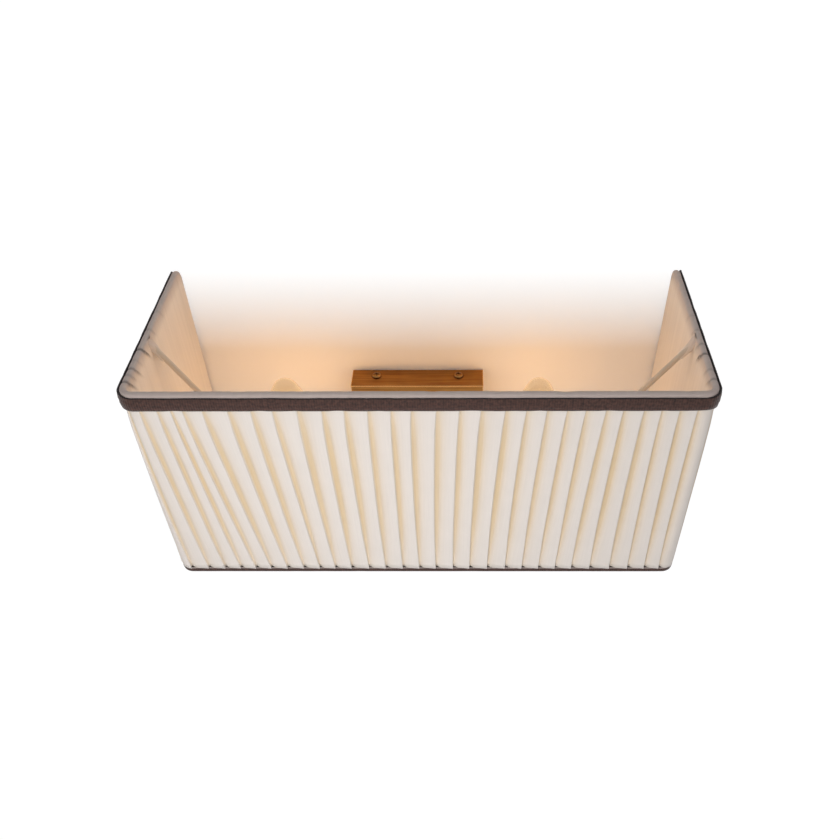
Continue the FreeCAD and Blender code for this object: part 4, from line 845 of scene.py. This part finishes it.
class WALLLIGHT_OT_lining(bpy.types.Operator):
    """Make the lining, rolled over the frame wire all the way round"""
    bl_idname = "wall_light.lining"
    bl_label = "Lining"

    columns = 600
    rows = 72
    turns = 12

    def panel_size(self, s):
        """Half length, half height and corner radius of the flat inner panels."""
        return spans(s)[2], s.height / 2 - s.roll, s.back_corner - s.roll

    def panel_loop(self, mesh, uv_of, rolled, crease_shade, s):
        """The flat inner panels; returns the points of their rim in order."""
        end, half, radius = self.panel_size(s)
        inside = s.roll_axis + s.roll
        grid = []
        for column in range(self.columns + 1):
            along = (2 * column / self.columns - 1) * end
            over = max(abs(along) - end + radius, 0.0)
            limit = half - radius + math.sqrt(max(radius ** 2 - over ** 2, 0.0))
            line = []
            for row in range(self.rows + 1):
                level = limit * (2 * row / self.rows - 1)
                dent = puckers(s, along, level)
                depth = inside + gathers(s, along, level) + dent
                vert = mesh.verts.new(outline_point(s, along, depth, level))
                uv_of[vert] = (along, level)
                # Painted shade of the roll, fading into the panel.
                vert[rolled] = max(0.0, 1.0 - (limit - abs(level)) / ROLL_SHADE_FADE) * ROLL_SHADE_SHARE
                # Painted shade in the creases.
                vert[crease_shade] = dent / CREASE_FULL_SHADE
                line.append(vert)
            grid.append(line)
        for near, far in zip(grid, grid[1:]):
            for row in range(self.rows):
                mesh.faces.new((near[row], near[row + 1], far[row + 1], far[row]))
        return ([line[0] for line in grid] + grid[-1][1:-1]
                + [line[-1] for line in reversed(grid)] + grid[0][-2:0:-1])

    def rim_out(self, spot, s):
        """The way out of the panel at a spot on its rim, in the plane of the cloth."""
        along, level = spot
        end, half, radius = self.panel_size(s)
        over = abs(along) - (end - radius)
        above = abs(level) - (half - radius)
        if over > 0 and above > 0:
            out = Vector((math.copysign(over, along), math.copysign(above, level)))
        elif over > 0:
            out = Vector((along, 0.0))
        else:
            out = Vector((0.0, level))
        return out.normalized()

    def roll(self, mesh, uv_of, rolled, crease_shade, rim, s):
        """The rolled edge: half a turn over the wire and a lap down the outside."""
        section = [(math.pi * turn / self.turns, 0.0) for turn in range(self.turns + 1)]
        section += [(math.pi, -s.lap * 0.5), (math.pi, -s.lap)]
        rings = []
        for vert in rim:
            along, level = uv_of[vert]
            out = self.rim_out((along, level), s)
            ring = [vert]
            for angle, back in section[1:]:
                reach = s.roll * math.sin(angle) + back
                spot = (along + out.x * reach, level + out.y * reach)
                depth = s.roll_axis + s.roll * math.cos(angle)
                dent = puckers(s, along, level)
                crease = (gathers(s, along, s.height / 2) + 0.5 * dent) * math.sin(angle)
                place = outline_point(s, spot[0], depth + crease,
                                      spot[1] - abs(crease) * 0.8 * out.y)
                new = mesh.verts.new(place)
                uv_of[new] = (spot[0] + out.x * depth, spot[1] + out.y * depth)
                # Painted shade, full over the top of the roll and on its lap.
                new[rolled] = ROLL_SHADE_SHARE + (1 - ROLL_SHADE_SHARE) * math.sin(angle / 2)
                new[crease_shade] = dent / CREASE_FULL_SHADE
                ring.append(new)
            rings.append(ring)
        for near, far in zip(rings, rings[1:] + rings[:1]):
            for turn in range(len(section) - 1):
                mesh.faces.new((near[turn], near[turn + 1], far[turn + 1], far[turn]))

    def sleeve(self, mesh, uv_of, rolled, carrier):
        """A strip of the same cloth, wrapped round a carrier where it comes through the lining."""
        low, high = (Vector(corner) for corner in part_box(carrier))
        left = high.x < 0
        head = Vector((low.x if left else high.x, low.y + SLEEVE_MOUTH, high.z))
        foot = Vector((high.x if left else low.x, high.y - SLEEVE_MOUTH, low.z))
        way = (foot - head).normalized()
        first = way.orthogonal().normalized()
        second = way.cross(first)
        rings = []
        for step in range(SLEEVE_STEPS + 2):
            share = min(step / SLEEVE_STEPS, 1.0)
            down = SLEEVE_LENGTH * share
            round_it = SLEEVE_MOUTH + (SLEEVE_HEAD - SLEEVE_MOUTH) * (1 - share) ** 2
            if step > SLEEVE_STEPS:
                round_it -= SLEEVE_LIP
            ring = []
            for side in range(SLEEVE_SIDES):
                angle = 2 * math.pi * side / SLEEVE_SIDES
                ripple = 1 + 0.07 * (1 - share) * math.sin(5 * angle + 9 * share)
                out = first * math.cos(angle) + second * math.sin(angle)
                vert = mesh.verts.new(head + way * down + out * round_it * ripple)
                uv_of[vert] = (down, SLEEVE_MOUTH * angle)
                # Painted shade on the sleeve, darkest at the wire.
                vert[rolled] = 0.6 * (1 - share)
                ring.append(vert)
            rings.append(ring)
        for near, far in zip(rings, rings[1:]):
            for side in range(SLEEVE_SIDES):
                after = (side + 1) % SLEEVE_SIDES
                mesh.faces.new((near[side], near[after], far[after], far[side]))

    def execute(self, context):
        s = sizes()
        mesh = bmesh.new()
        uv_of = {}
        rolled = mesh.verts.layers.float.new("painted_shading")
        crease_shade = mesh.verts.layers.float.new("crease")
        rim = self.panel_loop(mesh, uv_of, rolled, crease_shade, s)
        self.roll(mesh, uv_of, rolled, crease_shade, rim, s)
        for carrier in ("carrier_arm_left", "carrier_arm_right"):
            self.sleeve(mesh, uv_of, rolled, carrier)
        bmesh.ops.recalc_face_normals(mesh, faces=mesh.faces)
        layer = mesh.loops.layers.uv.new("cloth")
        for face in mesh.faces:
            for loop in face.loops:
                loop[layer].uv = uv_of[loop.vert]
        data = bpy.data.meshes.new("lining_cloth")
        mesh.to_mesh(data)
        mesh.free()
        data.shade_smooth()
        data.materials.append(lining_cloth())
        piece = new_piece("lining_cloth", data)
        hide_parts("lining")
        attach(piece, "light")
        return {"FINISHED"}


# ---------------------------------------------------------------------------------------------
# Finishes of the frame's own solids
# ---------------------------------------------------------------------------------------------
class WALLLIGHT_OT_wall_box(bpy.types.Operator):
    """Finish the brass box, its arms and what it holds"""
    bl_idname = "wall_light.wall_box"
    bl_label = "Wall box and arms"

    def execute(self, context):
        along_box = (18.0, 1100.0, 1100.0)   # marks 55 mm long and 1 mm wide
        turned = (260.0, 260.0, 260.0)       # 4 mm clouds, the lathe's marks are polished out
        # The second number sets how strong the painted edge highlight is.
        finish_node("box_cover", aged_brass("aged_brushed_brass", 1.0, along_box))
        plain_brass = aged_brass("aged_turned_brass", 0.0, turned)
        for node in ("arm_collars", "arm_tube_left", "arm_tube_right"):
            finish_node(node, plain_brass)
        finish_node("cover_screws", aged_brass("aged_screw_brass", 0.2, turned))
        finish_node("wall_bracket", plain_metal("zinc_plated_steel", "#C9CCCE", "#A3A6A8",
                                                0.38, 1.2))
        stamped = plain_metal("stamped_brass", "#C99B52", "#A97C38", 0.35, 0.6)
        finish_node("arm_lock_nuts", stamped)
        finish_node("earth_screw", stamped)
        finish_node("terminal_screws", plain_metal("bright_steel", "#B9BABC", "#8C8E90",
                                                   0.3, 0.5))
        finish_node("cable_grommet", moulded("black_rubber", "#1C1C1C", 0.8, 0.5, 0.3))
        finish_node("terminal_block", moulded("natural_polyamide", "#E6E2D2", 0.5, 0.4, 0.15))
        sleeve = moulded("silicone_sleeve", "#E4DFD0", 0.6, 0.7, 0.2)
        for node in ("lamp_lead_left", "lamp_lead_right"):
            finish_node(node, sleeve)
        return {"FINISHED"}


class WALLLIGHT_OT_lampholders(bpy.types.Operator):
    """Finish the lampholders, their ring nuts and the shade's wires and carriers"""
    bl_idname = "wall_light.lampholders"
    bl_label = "Lampholders and carriers"

    def execute(self, context):
        holder = moulded("ivory_polyester", "#E9E1CE", 0.42, 0.6, 0.12)
        enamel = moulded("cream_powder_coat", "#D2C8BA", 0.5, 0.35, 0.3)
        shell = threaded_metal("rolled_brass_thread", "#C99B52", "#8F6A30")
        contact = plain_metal("sprung_bronze", "#C48D55", "#9A6A38", 0.35, 0.5)
        for side in ("left", "right"):
            finish_node(f"lampholder_{side}", holder)
            finish_node(f"ring_nut_{side}", holder)
            finish_node(f"holder_shell_{side}", shell)
            finish_node(f"holder_contact_{side}", contact)
            finish_node(f"fitter_ring_{side}", enamel)
            finish_node(f"carrier_arm_{side}", enamel)
        for node in ("frame_upper_wire", "frame_lower_wire", "frame_corner_wires"):
            finish_node(node, enamel)
        return {"FINISHED"}


class WALLLIGHT_OT_lamps(bpy.types.Operator):
    """Finish the two candle lamps"""
    bl_idname = "wall_light.lamps"
    bl_label = "Lamps"

    def execute(self, context):
        envelope = clear_glass("blown_soda_glass", "#FBF8F0", 0.3)
        stem = clear_glass("drawn_lead_glass", "#F2F2EC", 0.0)
        cap = threaded_metal("nickel_plated_thread", "#C9C5BC", "#8E8B84")
        insulator = moulded("black_vitrite", "#141414", 0.15, 1.0, 0.05)
        solder = plain_metal("tin_solder", "#B4B4B4", "#8A8A8A", 0.5, 0.8)
        coating = filament_coating()
        for side in ("left", "right"):
            finish_node(f"lamp_glass_{side}", envelope)
            finish_node(f"lamp_stem_{side}", stem)
            finish_node(f"lamp_cap_{side}", cap)
            finish_node(f"lamp_insulator_{side}", insulator)
            finish_node(f"lamp_contact_{side}", solder)
            finish_node(f"lamp_filaments_{side}", coating)
        return {"FINISHED"}


# ---------------------------------------------------------------------------------------------
# Stage, lights and camera
# ---------------------------------------------------------------------------------------------
IMAGE_PIXELS = 840
FOCAL_PIXELS = 836.7          # focal length in pixels of the 840-pixel frame
PRINCIPAL_PIXELS = 457.1      # the optical axis meets the frame this far from its left edge
CAMERA_PLACE = Vector((39.7, -565.3, 493.5)) * MM
CAMERA_PITCH = 42.90          # degrees below the horizon
CAMERA_YAW = -0.60            # degrees to the right
CAMERA_ROLL = -0.47           # degrees
SENSOR_MM = 36.0
WALL_Y = 0.6 * MM             # the stage's wall, just behind the plane of the light's own wall
FLOOR_Z = -1.2
STAGE_REACH = 3.0
WHITE = (1.0, 1.0, 1.0, 1.0)
WHITE_SHARE = 0.93            # how much of its white the camera sees away from the shade
WHITE_STRENGTH = 1.06
WORLD_STRENGTH = 0.43         # for all rays but the camera's, for which it is 1
# The wall keeps its own paint behind the shade, in metres from the wall box's middle: the
# middle and half width of that place, its top and foot, and how soon it is white beyond each.
PAINTED = {"middle": 0.01, "side": 0.197, "side_fade": 0.004, "top": 0.05, "top_fade": 0.08,
           "foot": -0.05, "foot_fade": 0.02}
LIGHT_TARGET = (0.01, -0.08, 0.04)
LAMP_POWER = 0.205            # watts
LAMP_SOURCE = 20 * MM         # radius of the place that a lamp's light comes from
LAMP_LEVEL = 0.25             # its height, as a share of the glass


def pale_surface(name, code):
    """Plain matte paint that the camera sees paler than other rays do, palest round the shade,
    and that is clear from its back, so that the light's own back can be looked at."""
    material, tree = new_material(name)
    paint = add(tree, "ShaderNodeBsdfDiffuse", {"Color": (*linear(code), 1.0)})
    place = add(tree, "ShaderNodeNewGeometry")
    spot = add(tree, "ShaderNodeSeparateXYZ", {0: place.outputs["Position"]})
    beyond = formula(tree, "max(max((abs(x - middle) - side) / side_fade,"
                     " (z - top) / top_fade), (foot - z) / foot_fade)",
                     x=spot.outputs["X"], z=spot.outputs["Z"], **PAINTED)
    paler = formula(tree, "most * min(max(beyond, 0), 1)", most=WHITE_SHARE, beyond=beyond)
    white = add(tree, "ShaderNodeEmission", {"Color": WHITE, "Strength": WHITE_STRENGTH})
    seen = add(tree, "ShaderNodeMixShader", {0: paler, 1: paint.outputs[0],
                                             2: white.outputs[0]})
    path = add(tree, "ShaderNodeLightPath")
    which = formula(tree, "max(camera, max(glossy, passed))",
                    camera=path.outputs["Is Camera Ray"], glossy=path.outputs["Is Glossy Ray"],
                    passed=path.outputs["Is Transmission Ray"])
    mixed = add(tree, "ShaderNodeMixShader", {0: which, 1: paint.outputs[0],
                                              2: seen.outputs[0]})
    clear = add(tree, "ShaderNodeBsdfTransparent")
    sided = add(tree, "ShaderNodeMixShader", {0: place.outputs["Backfacing"],
                                              1: mixed.outputs[0], 2: clear.outputs[0]})
    close_material(tree, sided.outputs[0])
    return material


def flat_stage(name, corners, material):
    mesh = bpy.data.meshes.new(name)
    mesh.from_pydata(corners, [], [(0, 1, 2, 3)])
    mesh.materials.append(material)
    new_piece(name, mesh)


def soft_light(name, place, size, power):
    """A round soft light that shines on the middle of the wall light."""
    data = bpy.data.lights.new(name, "AREA")
    data.shape = "DISK"
    data.size = size
    data.energy = power
    light = new_piece(name, data)
    light.location = place
    way = Vector(LIGHT_TARGET) - Vector(place)
    light.rotation_euler = way.to_track_quat("-Z", "Y").to_euler()


class WALLLIGHT_OT_stage(bpy.types.Operator):
    """Set up the plain wall and floor, the soft lights and the camera"""
    bl_idname = "wall_light.stage"
    bl_label = "Stage"

    def execute(self, context):
        reach = STAGE_REACH
        paint = pale_surface("pale_wall_paint", "#FAFAFA")
        flat_stage("stage_wall", [(-reach, WALL_Y, FLOOR_Z), (reach, WALL_Y, FLOOR_Z),
                                  (reach, WALL_Y, reach), (-reach, WALL_Y, reach)], paint)
        flat_stage("stage_floor", [(-reach, -reach, FLOOR_Z), (reach, -reach, FLOOR_Z),
                                   (reach, WALL_Y, FLOOR_Z), (-reach, WALL_Y, FLOOR_Z)], paint)
        scene = context.scene
        world = bpy.data.worlds.new("studio")
        world.use_nodes = True
        world.node_tree.nodes.clear()
        path = add(world.node_tree, "ShaderNodeLightPath")
        strength = formula(world.node_tree, "low + (1 - low) * camera", low=WORLD_STRENGTH,
                           camera=path.outputs["Is Camera Ray"])
        sky = add(world.node_tree, "ShaderNodeBackground", {"Color": WHITE,
                                                            "Strength": strength})
        add(world.node_tree, "ShaderNodeOutputWorld", {"Surface": sky.outputs[0]})
        scene.world = world
        soft_light("key", (-0.055, -0.58, 0.08), size=0.4, power=1.12)
        soft_light("fill", (-0.6, -1.85, 0.2), size=1.6, power=2.35)
        for side in ("left", "right"):
            low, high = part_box(f"lamp_glass_{side}")
            data = bpy.data.lights.new(f"lamp_light_{side}", "POINT")
            data.shadow_soft_size = LAMP_SOURCE
            data.energy = LAMP_POWER
            data.color = colours().lamp_glow
            light = new_piece(f"lamp_light_{side}", data)
            light.location = ((low[0] + high[0]) / 2, (low[1] + high[1]) / 2,
                              low[2] + LAMP_LEVEL * (high[2] - low[2]))
            light.visible_transmission = False
            light.visible_glossy = False
        camera = bpy.data.cameras.new("camera")
        camera.sensor_width = SENSOR_MM
        camera.lens = SENSOR_MM * FOCAL_PIXELS / IMAGE_PIXELS
        camera.shift_x = -(PRINCIPAL_PIXELS - IMAGE_PIXELS / 2) / IMAGE_PIXELS
        camera.clip_start = 0.01
        eye = new_piece("camera", camera)
        eye.location = CAMERA_PLACE
        turns = ((-CAMERA_YAW, "Z"), (90 - CAMERA_PITCH, "X"), (CAMERA_ROLL, "Z"))
        aim = Matrix.Identity(3)
        for degrees, axis in turns:
            aim = aim @ Matrix.Rotation(math.radians(degrees), 3, axis)
        eye.rotation_euler = aim.to_euler()
        scene.camera = eye
        scene.view_settings.view_transform = "Standard"
        return {"FINISHED"}


class WALLLIGHT_PT_panel(bpy.types.Panel):
    """The wall light's sizes, colours and pieces"""
    bl_label = "Wall Light"
    bl_idname = "WALLLIGHT_PT_panel"
    bl_space_type = "VIEW_3D"
    bl_region_type = "UI"
    bl_category = "Wall Light"

    def draw(self, context):
        column = self.layout.column(align=True)
        for operator in OPERATORS:
            column.operator(operator.bl_idname)
        for group in (context.scene.wall_light_sizes, context.scene.wall_light_colours):
            column.separator()
            for name in group.__annotations__:
                column.prop(group, name)


OPERATORS = (WALLLIGHT_OT_stage, WALLLIGHT_OT_wall_box, WALLLIGHT_OT_lampholders,
             WALLLIGHT_OT_lamps, WALLLIGHT_OT_lining, WALLLIGHT_OT_cover,
             WALLLIGHT_OT_ribbons)
CLASSES = (WALLLIGHT_sizes, WALLLIGHT_colours) + OPERATORS + (WALLLIGHT_PT_panel,)


def register():
    for item in CLASSES:
        bpy.utils.register_class(item)
    bpy.types.Scene.wall_light_sizes = bpy.props.PointerProperty(type=WALLLIGHT_sizes)
    bpy.types.Scene.wall_light_colours = bpy.props.PointerProperty(type=WALLLIGHT_colours)


def unregister():
    del bpy.types.Scene.wall_light_colours
    del bpy.types.Scene.wall_light_sizes
    for item in reversed(CLASSES):
        bpy.utils.unregister_class(item)


def main():
    register()
    bpy.ops.wall_light.stage()
    bpy.ops.wall_light.wall_box()
    bpy.ops.wall_light.lampholders()
    bpy.ops.wall_light.lamps()
    bpy.ops.wall_light.lining()
    bpy.ops.wall_light.ribbons()
    bpy.ops.wall_light.cover()


if __name__ == "__main__":
    main()
